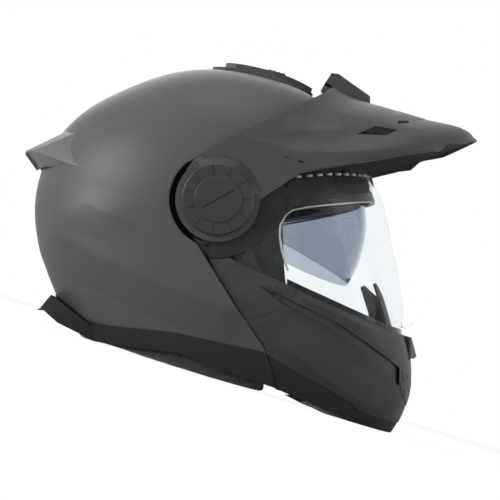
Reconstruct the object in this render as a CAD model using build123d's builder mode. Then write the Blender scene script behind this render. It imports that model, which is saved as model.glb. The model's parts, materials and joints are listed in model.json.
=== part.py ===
from build123d import *
import math
import os

os.makedirs("parts", exist_ok=True)

# Driving dimensions of the helmet, in millimetres and degrees
SHELL_LENGTH = 340.0
SHELL_HEIGHT = 270.0
HALF_WIDTH = 124.0
PIVOT_HEIGHT = 143.0
HEAD_PITCH = 17.3
ROUNDNESS = 2.15
OVERRUN = 60.0

# Walls and gaps
SHELL_WALL = 4.0
FRONT_STEP = 5.0
STEP_OVERLAP = 7.0
FIT_GAP = 0.3
PART_GAP = 0.6
CHIN_WALL = 4.0
PAD_GAP = 0.4

# Pivot stack on each side, from the shell outwards
POCKET_RADIUS = 40.0
POCKET_FLOOR = 111.8
STACK_GAP = 0.3
CHIN_ARM_THICKNESS = 3.4
CHIN_ARM_RADIUS = 26.0
SHIELD_WALL = 2.0
SHIELD_PLATE_RADIUS = 48.0
BASE_PLATE_THICKNESS = 1.0
PEAK_WALL = 2.6
PEAK_ARM_THICKNESS = 3.0
PEAK_ARM_RADIUS = 35.0
DISC_RADIUS = 30.0
DISC_THICKNESS = 4.6
DISC_STEP_RADIUS = 19.5
DISC_STEP_HEIGHT = 1.2
DISC_TICKS = 11
DISC_TICK_SHARES = (0.7, 0.97)
DISC_TICK_WIDTH = 1.0
COIN_SLOT_WIDTH = 1.6
COIN_SLOT_DEPTH = 1.4
COIN_SLOT_ANGLE = 29.0
PIVOT_TUBE_RADIUS = 9.0
PIVOT_BORE_RADIUS = 5.0
RUNNING_GAP = 0.05
PIVOT_SCREW_RADIUS = 2.5
PIVOT_FLANGE_RADIUS = 15.0
PIVOT_FLANGE_THICKNESS = 2.5

# Face shield, sun visor and peak
SHIELD_HALF_WIDTH = 122.0
PEAK_HALF_WIDTH = 130.0
SUN_RADIUS = 105.0
SUN_HALF_WIDTH = 97.0
SUN_WALL = 2.0

# Side outlines, as shares of the shell's length and height, measured from the pivot axis
SHELL_SHARES = (
    (0.524, -0.556), (0.509, -0.407), (0.479, -0.259), (0.456, -0.111), (0.438, 0.037), (0.401, 0.159),
    (0.347, 0.281), (0.259, 0.381), (0.132, 0.443), (0.000, 0.467), (-0.118, 0.450), (-0.235, 0.395),
    (-0.338, 0.322), (-0.429, 0.185), (-0.466, -0.019), (-0.450, -0.141), (-0.412, -0.274),
    (-0.329, -0.481), (-0.176, -0.759), (0.059, -0.919), (0.324, -0.889), (0.485, -0.711)
)
SHIELD_SHARES = (
    (0.442, 0.048), (0.412, 0.132), (0.364, 0.265), (0.206, 0.448), (0.000, 0.489), (-0.261, 0.391),
    (-0.441, 0.000), (-0.394, -0.496), (0.000, -0.796), (0.396, -0.713), (0.498, -0.490),
    (0.503, -0.341), (0.489, -0.204), (0.465, -0.064)
)
PEAK_SHARES = (
    (0.694, 0.243), (0.576, 0.300), (0.453, 0.344), (0.362, 0.380), (0.304, 0.422), (0.185, 0.504),
    (0.000, 0.541), (-0.279, 0.419), (-0.441, 0.000), (-0.235, -0.515), (0.265, -0.578),
    (0.553, -0.252), (0.676, 0.119)
)
HEAD_SHARES = (
    (0.288, 0.074), (0.259, 0.215), (0.162, 0.319), (0.015, 0.363), (-0.147, 0.333), (-0.279, 0.215),
    (-0.335, 0.037), (-0.318, -0.148), (-0.294, -0.370), (-0.294, -0.815), (0.000, -0.970),
    (0.294, -0.926), (0.329, -0.481), (0.294, -0.148)
)
SPLIT_SHARES = (
    (-0.062, -0.111), (-0.006, -0.222), (0.051, -0.337), (0.112, -0.444), (0.135, -0.522),
    (0.144, -0.578), (0.165, -0.889)
)
SHIELD_SILL_SHARES = (
    (-0.062, -0.111), (0.000, -0.154), (0.054, -0.195), (0.128, -0.235), (0.227, -0.291),
    (0.330, -0.346), (0.439, -0.401), (0.676, -0.467)
)
PEAK_TOP_SHARES = (
    (-0.076, 0.093), (-0.056, 0.126), (0.053, 0.207), (0.182, 0.287), (0.250, 0.337), (0.294, 0.378),
    (0.365, 0.481), (0.441, 0.741)
)
PEAK_SIDE_SHARES = (
    (0.091, -0.011), (0.126, 0.020), (0.179, 0.065), (0.204, 0.083), (0.247, 0.094), (0.376, 0.124),
    (0.538, 0.167), (0.566, 0.169), (0.591, 0.198), (0.646, 0.206), (0.700, 0.233), (0.853, 0.259)
)
GROOVE_SHARES = (
    (-0.676, -0.089), (-0.447, -0.244), (-0.388, -0.304), (-0.312, -0.380), (-0.109, -0.407),
    (0.007, -0.441), (0.106, -0.467), (0.176, -0.485)
)
SKIRT_SHARES = (
    (0.088, -0.452), (0.115, -0.470), (0.206, -0.535), (0.338, -0.628), (0.356, -0.652),
    (0.453, -0.693), (0.676, -0.759)
)
FRONT_LOW_SHARES = (
    (0.153, -0.496), (0.206, -0.533), (0.338, -0.626), (0.471, -0.719), (0.471, -1.000),
    (0.153, -1.000)
)
EYE_PORT_SHARES = (
    (0.159, -0.052), (0.165, -0.215), (0.176, -0.370), (0.194, -0.556), (0.206, -1.000),
    (0.853, -1.000), (0.853, 0.067), (0.403, 0.019), (0.194, -0.015)
)
HALF_STATION_SHARES = (0.0, 0.22, 0.42, 0.6, 0.74, 0.85, 0.93, 0.98)

TILT = math.radians(HEAD_PITCH)
STATION_SHARES = [-share for share in reversed(HALF_STATION_SHARES[1:])] + list(HALF_STATION_SHARES)
CHIN_ARM_INNER = POCKET_FLOOR + STACK_GAP
CHIN_ARM_OUTER = CHIN_ARM_INNER + CHIN_ARM_THICKNESS
SHIELD_INNER = CHIN_ARM_OUTER + STACK_GAP
SHIELD_OUTER = SHIELD_INNER + SHIELD_WALL
PLATE_OUTER = SHIELD_OUTER + BASE_PLATE_THICKNESS
PEAK_INNER = PLATE_OUTER + STACK_GAP
PEAK_OUTER = PEAK_INNER + PEAK_ARM_THICKNESS
DISC_INNER = PEAK_OUTER + STACK_GAP
DISC_OUTER = DISC_INNER + DISC_THICKNESS
FLAT_SIDE = PEAK_INNER - 2 * STACK_GAP
SPAN = 2 * (SHELL_LENGTH + OVERRUN)
REACH = HALF_WIDTH + OVERRUN
RIGHT, LEFT = -1, 1
finished_forms = {}


def side_plane(across=0.0):
    """Side view through the pivot axis: x runs forward and y up, as the helmet is worn."""
    forward = (math.cos(TILT), 0, math.sin(TILT))
    return Plane(origin=(0, across, PIVOT_HEIGHT), x_dir=forward, z_dir=(0, -1, 0))


def from_side(near, far, side):
    """Plane from which an extrusion of far - near fills the band between them on one side."""
    return side_plane(-near if side == RIGHT else far)


def spots(shares):
    """Side-view points worked out from shares of the shell's length and height."""
    return [(along * SHELL_LENGTH, up * SHELL_HEIGHT) for along, up in shares]


def form(shares, half_width, grow=0.0):
    """Closed rounded body: its side outline, drawn in towards the pivot axis across the helmet."""
    key = (shares, half_width, round(grow / RUNNING_GAP))
    if key in finished_forms:
        return finished_forms[key]
    with BuildPart() as body:
        for station in STATION_SHARES:
            narrow = (1 - abs(station) ** ROUNDNESS) ** (1 / ROUNDNESS)
            ring = []
            for along, up in spots(shares):
                stretch = narrow * (1 + grow / math.hypot(along, up))
                ring.append((along * stretch, up * stretch))
            with BuildSketch(side_plane(station * (half_width + grow))):
                with BuildLine():
                    Spline(*ring, periodic=True)
                make_face()
        loft()
    finished_forms[key] = body.part
    return body.part


def shell_form(grow=0.0):
    return form(SHELL_SHARES, HALF_WIDTH, grow)


def side_prism(points, near=None, far=None, side=RIGHT):
    """A side-view outline carried through the whole width, or through one band of it."""
    plane = side_plane() if near is None else from_side(near, far, side)
    with BuildPart() as body:
        with BuildSketch(plane):
            with BuildLine():
                Polyline(*points, close=True)
            make_face()
        if near is None:
            extrude(amount=REACH, both=True)
        else:
            extrude(amount=far - near)
    return body.part


def slab(limit):
    """Everything within one distance of the middle plane."""
    with BuildPart() as body:
        Box(SPAN, 2 * limit, SPAN)
    return body.part


def pivot_round(radius, near, far, side, centre=(0, 0)):
    """A disc about an axis across the helmet, between two distances from the middle plane."""
    with BuildPart() as body:
        with BuildSketch(from_side(near, far, side)):
            with Locations(centre):
                Circle(radius)
        extrude(amount=far - near)
    return body.part


def both_pivots(radius, near, far, centre=(0, 0)):
    with BuildPart() as body:
        for side in (RIGHT, LEFT):
            add(pivot_round(radius, near, far, side, centre))
    return body.part


def drum(radius, half_width, centre=(0, 0)):
    """Rounded body of revolution about an axis across the helmet."""
    origin = side_plane().from_local_coords(Vector(*centre))
    arc = [(radius * (1 - abs(share) ** ROUNDNESS) ** (1 / ROUNDNESS), share * half_width)
           for share in STATION_SHARES]
    with BuildPart() as body:
        with BuildSketch(Plane(origin=origin, x_dir=(1, 0, 0), z_dir=(0, 0, 1))):
            with BuildLine():
                Spline(*arc)
                Polyline(arc[-1], (0, arc[-1][1]), (0, arc[0][1]), arc[0])
            make_face()
        revolve(axis=Axis(origin, (0, 1, 0)))
    return body.part


def touch_plane(body, start, toward, forward):
    """Plane lying on a body where a line from inside comes out, its x along one direction."""
    hits = body.find_intersection_points(Axis(start, toward))
    spot, normal = max(hits, key=lambda hit: (hit[0] - start).dot(toward))
    if normal.dot(toward) < 0:
        normal = normal * -1
    return Plane(origin=spot, x_dir=forward - normal * forward.dot(normal), z_dir=normal)


def below_ground():
    """Everything under the plane the helmet stands on."""
    with BuildPart() as body:
        Box(SPAN, SPAN, SPAN, align=(Align.CENTER, Align.CENTER, Align.MAX))
    return body.part


def keep(node, label):
    """Name a finished piece and write it."""
    node.part.label = label
    export_step(node.part, f"parts/{label}.step")


split = spots(SPLIT_SHARES)
sill = spots(SHIELD_SILL_SHARES)
peak_top = spots(PEAK_TOP_SHARES)
peak_side = spots(PEAK_SIDE_SHARES)
groove = spots(GROOVE_SHARES)
skirt_line = spots(SKIRT_SHARES)
eye_port = spots(EYE_PORT_SHARES)
far_down = -2 * SHELL_HEIGHT
far_up = 2 * SHELL_HEIGHT
far_front = 2 * SHELL_LENGTH
ground = below_ground()
outer_form = shell_form()

# Where the shell steps in under the chin bar and the peak
front_outline = [(far_front, far_down), (split[-1][0], far_down)]
front_outline += split[::-1] + peak_top + [(far_front, far_up)]
with BuildPart() as front_zone:
    with BuildSketch(side_plane()):
        with BuildLine():
            Polyline(*front_outline, close=True)
        make_face()
    extrude(amount=REACH, both=True)
with BuildPart() as front_zone_grown:
    with BuildSketch(side_plane()):
        with BuildLine():
            Polyline(*front_outline, close=True)
        make_face()
        offset(amount=STEP_OVERLAP, kind=Kind.INTERSECTION)
    extrude(amount=REACH, both=True)
with BuildPart() as front_step:
    add(front_zone.part)
    add(shell_form(-FRONT_STEP), mode=Mode.SUBTRACT)


def shell_room(gap):
    """The space inside the shell, set in from its inner face by a gap."""
    with BuildPart() as deep:
        add(shell_form(-FRONT_STEP - SHELL_WALL - gap))
        add(slab(POCKET_FLOOR - SHELL_WALL - gap), mode=Mode.INTERSECT)
    with BuildPart() as rear:
        add(shell_form(-SHELL_WALL - gap))
        add(slab(FLAT_SIDE - SHELL_WALL - gap), mode=Mode.INTERSECT)
        add(front_zone_grown.part, mode=Mode.SUBTRACT)
        boss = POCKET_RADIUS + SHELL_WALL + gap
        add(both_pivots(boss, POCKET_FLOOR - SHELL_WALL - gap, REACH), mode=Mode.SUBTRACT)
        add(deep.part)
    return rear.part


front_low = side_prism(spots(FRONT_LOW_SHARES))
below_groove = side_prism(groove + [(groove[-1][0], far_down), (-far_front, far_down)])
shell_inside = shell_room(0)

with BuildPart() as front_flats:
    add(front_zone.part)
    add(slab(POCKET_FLOOR), mode=Mode.SUBTRACT)
with BuildPart() as outer_shell:
    add(outer_form)
    add(slab(FLAT_SIDE), mode=Mode.INTERSECT)
    add(front_step.part, mode=Mode.SUBTRACT)
    add(front_flats.part, mode=Mode.SUBTRACT)
    add(both_pivots(POCKET_RADIUS, POCKET_FLOOR, REACH), mode=Mode.SUBTRACT)
    add(shell_inside, mode=Mode.SUBTRACT)
    add(side_prism(eye_port), mode=Mode.SUBTRACT)
    add(below_groove, mode=Mode.SUBTRACT)
    add(front_low, mode=Mode.SUBTRACT)
    add(ground, mode=Mode.SUBTRACT)
    add(both_pivots(PIVOT_TUBE_RADIUS + RUNNING_GAP, 0, REACH), mode=Mode.SUBTRACT)
keep(outer_shell, "outer_shell")

# Lower edge trim of the shell, from cheek to cheek, rolled out into a lip round the nape
TRIM_SHARES = (
    (-0.676, -0.204), (-0.441, -0.330), (-0.400, -0.374), (-0.301, -0.435), (-0.203, -0.454),
    (-0.090, -0.470), (0.035, -0.531), (0.176, -0.593)
)
TRIM_PROUD = 0.8
LIP_SHARES = (
    (-0.471, -0.333), (-0.447, -0.326), (-0.415, -0.285), (-0.391, -0.307), (-0.312, -0.385),
    (-0.108, -0.413), (0.007, -0.448), (0.141, -0.496)
)
LIP_FORM_SHARES = (
    (0.176, 0.000), (0.000, 0.222), (-0.353, 0.074), (-0.474, -0.148), (-0.462, -0.311),
    (-0.379, -0.489), (-0.118, -0.593), (0.118, -0.370)
)
LIP_HALF_WIDTH = 100.0
LIP_ROOT = 1.8
trim_line = spots(TRIM_SHARES)
lip_zone = side_prism(spots(LIP_SHARES) + trim_line[:0:-1])
with BuildPart() as nape_lip:
    add(form(LIP_FORM_SHARES, LIP_HALF_WIDTH))
    add(lip_zone, mode=Mode.INTERSECT)
    add(shell_form(-LIP_ROOT), mode=Mode.SUBTRACT)
with BuildPart() as neck_trim:
    add(shell_form(TRIM_PROUD))
    add(shell_form(-SHELL_WALL), mode=Mode.SUBTRACT)
    add(side_prism(groove + trim_line[::-1]), mode=Mode.INTERSECT)
    add(nape_lip.part)
    add(front_zone.part, mode=Mode.SUBTRACT)
    add(ground, mode=Mode.SUBTRACT)
keep(neck_trim, "neck_trim")

# Rear exhaust spoiler with its louvre strip
SPOILER_SIDE_SHARES = (
    (-0.356, 0.233), (-0.385, 0.281), (-0.497, 0.191), (-0.465, 0.135), (-0.447, 0.126),
    (-0.341, 0.111)
)
SPOILER_PLAN_SHARES = ((-0.32, -0.352), (-0.42, -0.24), (-0.48, -0.12), (-0.498, 0.0), (-0.48, 0.12),
                       (-0.42, 0.24), (-0.32, 0.352))
LOUVRE_HALF_WIDTH = 24.0
LOUVRE_DEPTH = 6.0
LOUVRE_END_SHARES = (0.75, 0.08)
LOUVRE_COUNT = 3
LOUVRE_BAR = 1.6


def top_plane(up=0.0):
    """Plan view as worn, through the pivot axis or above it: x runs forward and y to the left."""
    forward = Vector(math.cos(TILT), 0, math.sin(TILT))
    upward = Vector(-math.sin(TILT), 0, math.cos(TILT))
    origin = Vector(0, 0, PIVOT_HEIGHT) + upward * up
    return Plane(origin=origin, x_dir=forward, z_dir=upward)


def plan_prism(points, rounded=False):
    """A plan-view outline carried up and down through the whole height."""
    with BuildPart() as body:
        with BuildSketch(top_plane()):
            with BuildLine():
                if rounded:
                    Spline(*points)
                    Line(points[-1], points[0])
                else:
                    Polyline(*points, close=True)
            make_face()
        extrude(amount=SPAN / 2, both=True)
    return body.part


spoiler_plan = [(along * SHELL_LENGTH, across * 2 * HALF_WIDTH) for along, across in SPOILER_PLAN_SHARES]
spoiler_side = spots(SPOILER_SIDE_SHARES)
louvre_top, louvre_low = Vector(*spoiler_side[2]), Vector(*spoiler_side[3])
louvre_in = (louvre_top - louvre_low).normalized().rotate(Axis.Z, -90) * LOUVRE_DEPTH
louvre_side = [louvre_low + (louvre_top - louvre_low) * share for share in LOUVRE_END_SHARES]
louvre_side = [louvre_side[0], louvre_side[1], louvre_side[1] + louvre_in, louvre_side[0] + louvre_in]
louvre_box = side_prism([(v.X, v.Y) for v in louvre_side], -LOUVRE_HALF_WIDTH, LOUVRE_HALF_WIDTH)
with BuildPart() as spoiler_block:
    add(plan_prism(spoiler_plan, rounded=True))
    add(side_prism(spoiler_side), mode=Mode.INTERSECT)
    add(outer_form, mode=Mode.SUBTRACT)
with BuildPart() as rear_spoiler:
    add(spoiler_block.part)
    add(louvre_box, mode=Mode.SUBTRACT)
keep(rear_spoiler, "rear_spoiler")

louvre_gap = (louvre_side[1] - louvre_side[0]) * (1 / (LOUVRE_COUNT + 1))
with BuildPart() as spoiler_louvre:
    add(louvre_box)
    add(spoiler_block.part, mode=Mode.INTERSECT)
    for number in range(LOUVRE_COUNT):
        spot = louvre_side[0] + louvre_gap * (number + 1)
        start = spot - louvre_gap.normalized() * LOUVRE_BAR / 2
        stop = spot + louvre_gap.normalized() * LOUVRE_BAR / 2
        cut = [start - louvre_in, stop - louvre_in, stop + louvre_in / 2, start + louvre_in / 2]
        inset = LOUVRE_HALF_WIDTH - LOUVRE_DEPTH
        add(side_prism([(v.X, v.Y) for v in cut], -inset, inset), mode=Mode.SUBTRACT)
keep(spoiler_louvre, "spoiler_louvre")

# Crown vent: base, cover and the slider that opens it
VENT_BASE_SHARES = (
    (0.000, 0.437), (0.000, 0.519), (0.176, 0.519), (0.271, 0.437), (0.259, 0.363)
)
VENT_COVER_SHARES = (
    (0.029, 0.448), (0.041, 0.526), (0.171, 0.526), (0.265, 0.419), (0.256, 0.374), (0.176, 0.411),
    (0.088, 0.441)
)
VENT_BASE_PLAN_SHARES = ((0.0, 0.05), (0.03, 0.11), (0.17, 0.135), (0.27, 0.06), (0.27, -0.06), (0.17, -0.135),
                         (0.03, -0.11), (0.0, -0.05))
VENT_COVER_PLAN_SHARES = ((0.03, 0.05), (0.06, 0.08), (0.16, 0.1), (0.262, 0.045), (0.262, -0.045), (0.16, -0.1),
                          (0.06, -0.08), (0.03, -0.05))
VENT_BASE_HEIGHT = 2.6
VENT_COVER_HEIGHT = 7.0
SLIDER_LENGTH = 17.0
SLIDER_WIDTH = 16.0
SLIDER_HEIGHT = 3.0
SLIDER_TRAVEL = 8.0
SLIDER_RIBS = 4
RIB_WIDTH = 1.0
SLIDER_SHARE = 0.157
vent_base_plan = [(along * SHELL_LENGTH, across * 2 * HALF_WIDTH) for along, across in VENT_BASE_PLAN_SHARES]
shell_width = 2 * HALF_WIDTH
vent_cover_plan = [(along * SHELL_LENGTH, across * shell_width) for along, across in VENT_COVER_PLAN_SHARES]
base_form = shell_form(VENT_BASE_HEIGHT)
cover_form = shell_form(VENT_COVER_HEIGHT)
with BuildPart() as crown_vent_base:
    add(base_form)
    add(side_prism(spots(VENT_BASE_SHARES)), mode=Mode.INTERSECT)
    add(plan_prism(vent_base_plan), mode=Mode.INTERSECT)
    add(outer_form, mode=Mode.SUBTRACT)
keep(crown_vent_base, "crown_vent_base")

worn = top_plane()
slider_start = worn.from_local_coords(Vector(SLIDER_SHARE * SHELL_LENGTH, 0, 0))
slider_plane = touch_plane(cover_form, slider_start, worn.z_dir, worn.x_dir)
with BuildPart() as cover_recess:
    with BuildSketch(slider_plane.offset(-SLIDER_HEIGHT / 2)):
        Rectangle(SLIDER_LENGTH + SLIDER_TRAVEL + 2 * FIT_GAP, SLIDER_WIDTH + 2 * FIT_GAP)
    extrude(amount=SLIDER_HEIGHT)
with BuildPart() as crown_vent_cover:
    add(cover_form)
    add(side_prism(spots(VENT_COVER_SHARES)), mode=Mode.INTERSECT)
    add(plan_prism(vent_cover_plan), mode=Mode.INTERSECT)
    add(base_form, mode=Mode.SUBTRACT)
    add(cover_recess.part, mode=Mode.SUBTRACT)
keep(crown_vent_cover, "crown_vent_cover")

with BuildPart() as crown_vent_slider:
    with BuildSketch(slider_plane.offset(FIT_GAP - SLIDER_HEIGHT / 2)):
        with Locations((SLIDER_TRAVEL / 2, 0)):
            RectangleRounded(SLIDER_LENGTH, SLIDER_WIDTH, SLIDER_HEIGHT)
    extrude(amount=SLIDER_HEIGHT)
    with BuildSketch(slider_plane.offset(FIT_GAP + SLIDER_HEIGHT / 2)):
        with Locations((SLIDER_TRAVEL / 2, 0)):
            with GridLocations(SLIDER_LENGTH / SLIDER_RIBS, 0, SLIDER_RIBS, 1):
                Rectangle(RIB_WIDTH, SLIDER_WIDTH - SLIDER_HEIGHT)
    extrude(amount=RIB_WIDTH)
keep(crown_vent_slider, "crown_vent_slider")

# Eye port edging and the seal strip across the brow
EDGING_PROUD = 1.2
EDGING_WIDTH = 9.0
BROW_SEAL_SHARES = (
    (0.171, 0.041), (0.294, 0.063), (0.415, 0.078), (0.471, 0.089), (0.471, 0.107), (0.415, 0.100),
    (0.294, 0.085), (0.176, 0.063)
)
with BuildPart() as edging_zone:
    with BuildSketch(side_plane()):
        with BuildLine():
            Polyline(*eye_port, close=True)
        make_face()
        offset(amount=EDGING_WIDTH, kind=Kind.INTERSECTION)
        with BuildLine():
            Polyline(*eye_port, close=True)
        make_face(mode=Mode.SUBTRACT)
    extrude(amount=REACH, both=True)
edging_form = shell_form(EDGING_PROUD - FRONT_STEP)
stepped_form = shell_form(FIT_GAP - FRONT_STEP)
below_sill = side_prism([(point[0], point[1] + EDGING_WIDTH) for point in sill]
                        + [(far_front, far_down), (-far_front, far_down), (-far_front, sill[0][1])])
with BuildPart() as eye_port_gasket:
    add(edging_form)
    add(slab(POCKET_FLOOR), mode=Mode.INTERSECT)
    add(stepped_form, mode=Mode.SUBTRACT)
    add(edging_zone.part, mode=Mode.INTERSECT)
    add(below_sill, mode=Mode.SUBTRACT)
keep(eye_port_gasket, "eye_port_gasket")

with BuildPart() as brow_seal:
    add(edging_form)
    add(slab(POCKET_FLOOR), mode=Mode.INTERSECT)
    add(stepped_form, mode=Mode.SUBTRACT)
    add(side_prism(spots(BROW_SEAL_SHARES)), mode=Mode.INTERSECT)
keep(brow_seal, "brow_seal")

# Impact liner inside the shell, open for the head, the face and the sun visor
HEAD_HALF_WIDTH = 84.0
SUN_AXIS_SHARES = ((0.097, -0.037),)
SUN_SECTOR_SHARES = (
    (0.035, -0.163), (0.176, -0.207), (0.500, -0.444), (0.706, 0.222), (0.441, 0.630), (0.176, 0.630),
    (0.024, 0.074)
)
SUN_ROOM = 2.0
PIVOT_NEST = 4.0
LATCH_POCKET_SHARES = (
    (0.088, -0.356), (0.247, -0.344), (0.247, -0.496), (0.094, -0.481)
)
LATCH_NEAR = 88.0
sun_axis = spots(SUN_AXIS_SHARES)[0]
head_form = form(HEAD_SHARES, HEAD_HALF_WIDTH)
sun_sector = side_prism(spots(SUN_SECTOR_SHARES))
with BuildPart() as sun_room:
    add(sun_sector)
    sun_inset = SUN_WALL + SUN_ROOM
    add(drum(SUN_RADIUS - sun_inset, SUN_HALF_WIDTH - sun_inset, sun_axis), mode=Mode.SUBTRACT)
latch_pocket = side_prism(spots(LATCH_POCKET_SHARES), LATCH_NEAR - FIT_GAP, REACH)
with BuildPart() as impact_liner:
    add(shell_room(FIT_GAP))
    add(head_form, mode=Mode.SUBTRACT)
    add(sun_room.part, mode=Mode.SUBTRACT)
    add(side_prism(eye_port), mode=Mode.SUBTRACT)
    add(below_groove, mode=Mode.SUBTRACT)
    add(front_low, mode=Mode.SUBTRACT)
    add(ground, mode=Mode.SUBTRACT)
    nest = PIVOT_FLANGE_RADIUS + FIT_GAP
    nest_floor = POCKET_FLOOR - SHELL_WALL - PIVOT_FLANGE_THICKNESS - PIVOT_NEST
    add(both_pivots(nest, nest_floor, REACH), mode=Mode.SUBTRACT)
    add(latch_pocket, mode=Mode.SUBTRACT)
    add(mirror(latch_pocket, about=Plane.XZ), mode=Mode.SUBTRACT)
keep(impact_liner, "impact_liner")

# Comfort padding: crown pad, cheek pads and the roll round the neck
CROWN_PAD_THICKNESS = 8.0
CROWN_PAD_SHARES = (
    (-0.588, -0.193), (-0.265, -0.126), (0.059, 0.022), (0.588, 0.052), (0.588, 0.741),
    (-0.588, 0.741)
)
CROWN_GROOVE_SHARES = (-0.16, -0.02, 0.12)
CROWN_GROOVE_WIDTH = 4.0
CROWN_GROOVE_DEPTH = 2.5
CHEEK_CENTRE_SHARES = ((0.024, -0.270),)
CHEEK_LENGTH = 78.0
CHEEK_HEIGHT = 70.0
CHEEK_ROUND = 20.0
CHEEK_THICKNESS = 22.0
CHEEK_OUTER = 71.5
CHEEK_SECTION_SHARES = ((0.0, 0.86), (0.3, 1.0), (0.75, 1.0), (1.0, 0.82))
NECK_ROLL_SHARES = (
    (-0.588, -0.222), (-0.388, -0.311), (-0.312, -0.387), (-0.109, -0.415), (0.007, -0.448),
    (0.103, -0.472), (0.121, -0.504), (0.126, -0.741), (-0.588, -0.741)
)
NECK_ROLL_INSET = 2.0
NECK_ROLL_THICKNESS = 20.0
with BuildPart() as crown_pad:
    add(form(HEAD_SHARES, HEAD_HALF_WIDTH, -PAD_GAP))
    add(form(HEAD_SHARES, HEAD_HALF_WIDTH, -PAD_GAP - CROWN_PAD_THICKNESS), mode=Mode.SUBTRACT)
    add(side_prism(spots(CROWN_PAD_SHARES)), mode=Mode.INTERSECT)
    add(side_prism(eye_port), mode=Mode.SUBTRACT)
channel_form = form(HEAD_SHARES, HEAD_HALF_WIDTH, -PAD_GAP - CROWN_PAD_THICKNESS + CROWN_GROOVE_DEPTH)
with BuildPart() as crown_channels:
    with BuildSketch(side_plane()):
        for share in CROWN_GROOVE_SHARES:
            with Locations((share * SHELL_LENGTH, SHELL_HEIGHT / 2)):
                Rectangle(CROWN_GROOVE_WIDTH, SHELL_HEIGHT)
    extrude(amount=REACH, both=True)
    add(channel_form, mode=Mode.INTERSECT)
with BuildPart() as crown_comfort_pad:
    add(crown_pad.part)
    add(crown_channels.part, mode=Mode.SUBTRACT)
keep(crown_comfort_pad, "crown_comfort_pad")


def cheek_pad(side):
    """Crowned pad between the jaw and the liner, drawn in towards both of its faces."""
    centre = spots(CHEEK_CENTRE_SHARES)[0]
    with BuildPart() as pad:
        for depth_share, size_share in CHEEK_SECTION_SHARES:
            across = side * (CHEEK_OUTER - depth_share * CHEEK_THICKNESS)
            with BuildSketch(side_plane(across)):
                with Locations(centre):
                    RectangleRounded(CHEEK_LENGTH * size_share, CHEEK_HEIGHT * size_share, CHEEK_ROUND)
        loft()
    return pad.part


with BuildPart() as cheek_pad_right:
    add(cheek_pad(RIGHT))
keep(cheek_pad_right, "cheek_pad_right")
with BuildPart() as cheek_pad_left:
    add(cheek_pad(LEFT))
keep(cheek_pad_left, "cheek_pad_left")

with BuildPart() as neck_roll:
    add(shell_form(-NECK_ROLL_INSET))
    add(shell_form(-NECK_ROLL_INSET - NECK_ROLL_THICKNESS), mode=Mode.SUBTRACT)
    add(side_prism(spots(NECK_ROLL_SHARES)), mode=Mode.INTERSECT)
    add(neck_trim.part, mode=Mode.SUBTRACT)
    add(ground, mode=Mode.SUBTRACT)
keep(neck_roll, "neck_roll")

# Pivot hardware on the shell
with BuildPart() as pivot_base_right:
    add(pivot_round(PIVOT_TUBE_RADIUS, POCKET_FLOOR - SHELL_WALL - PIVOT_FLANGE_THICKNESS, DISC_INNER, RIGHT))
    wall_face = POCKET_FLOOR - SHELL_WALL
    add(pivot_round(PIVOT_FLANGE_RADIUS, wall_face - PIVOT_FLANGE_THICKNESS, wall_face, RIGHT))
    add(pivot_round(PIVOT_BORE_RADIUS, 0, REACH, RIGHT), mode=Mode.SUBTRACT)
keep(pivot_base_right, "pivot_base_right")
with BuildPart() as pivot_base_left:
    add(mirror(pivot_base_right.part, about=Plane.XZ))
keep(pivot_base_left, "pivot_base_left")

DISC_EDGE = 1.2
DISC_STEM_LENGTH = 12.0
DISC_STEM_GAP = 0.1
with BuildPart() as pivot_disc_right:
    with BuildSketch(side_plane(-DISC_INNER)):
        Circle(DISC_RADIUS)
    extrude(amount=DISC_THICKNESS - DISC_STEP_HEIGHT)
    chamfer(pivot_disc_right.faces().sort_by(Axis.Y)[0].edges(), DISC_EDGE)
    tick_plane = side_plane(-DISC_OUTER + DISC_STEP_HEIGHT)
    with BuildSketch(tick_plane):
        inner_share, outer_share = DISC_TICK_SHARES
        with PolarLocations(DISC_RADIUS * (inner_share + outer_share) / 2, DISC_TICKS):
            Rectangle(DISC_RADIUS * (outer_share - inner_share), DISC_TICK_WIDTH)
    extrude(amount=-DISC_STEP_HEIGHT / 2, mode=Mode.SUBTRACT)
    with BuildSketch(tick_plane):
        Circle(DISC_STEP_RADIUS)
    extrude(amount=DISC_STEP_HEIGHT)
    chamfer(pivot_disc_right.faces().sort_by(Axis.Y)[0].edges(), DISC_STEP_HEIGHT / 2)
    with BuildSketch(side_plane(-DISC_OUTER)):
        SlotOverall(DISC_RADIUS, COIN_SLOT_WIDTH, rotation=COIN_SLOT_ANGLE)
    extrude(amount=-COIN_SLOT_DEPTH, mode=Mode.SUBTRACT)
    with BuildSketch(side_plane(-DISC_INNER)):
        Circle(PIVOT_BORE_RADIUS - DISC_STEM_GAP)
    extrude(amount=-DISC_STEM_LENGTH)
keep(pivot_disc_right, "pivot_disc_right")
with BuildPart() as pivot_disc_left:
    add(mirror(pivot_disc_right.part, about=Plane.XZ))
keep(pivot_disc_left, "pivot_disc_left")

# Chin bar with its arms
DRUM_RADIUS = 150.0
CHIN_NECK_SHARES = (
    (-0.059, -0.052), (-0.035, -0.133), (0.003, -0.222), (0.035, -0.285), (0.118, -0.319),
    (0.106, -0.215), (0.053, -0.067)
)
MOUTH_VENT_SHARE = -0.519
MOUTH_VENT_WIDTH = 70.0
MOUTH_VENT_HEIGHT = 15.0
MOUTH_VENT_START_SHARE = 0.4
BAND_SHARES = (
    (0.100, -0.263), (0.179, -0.307), (0.306, -0.381), (0.432, -0.485), (0.471, -0.519),
    (0.471, -0.578), (0.412, -0.519), (0.276, -0.396), (0.176, -0.333)
)
BAND_DEPTH = 1.2
BEAK_SHARES = (
    (0.412, -0.370), (0.503, -0.385), (0.534, -0.484), (0.518, -0.496), (0.412, -0.496)
)
BEAK_PLAN_SHARES = ((0.353, 0.29), (0.465, 0.226), (0.512, 0.137), (0.5335, 0.073))
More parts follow.
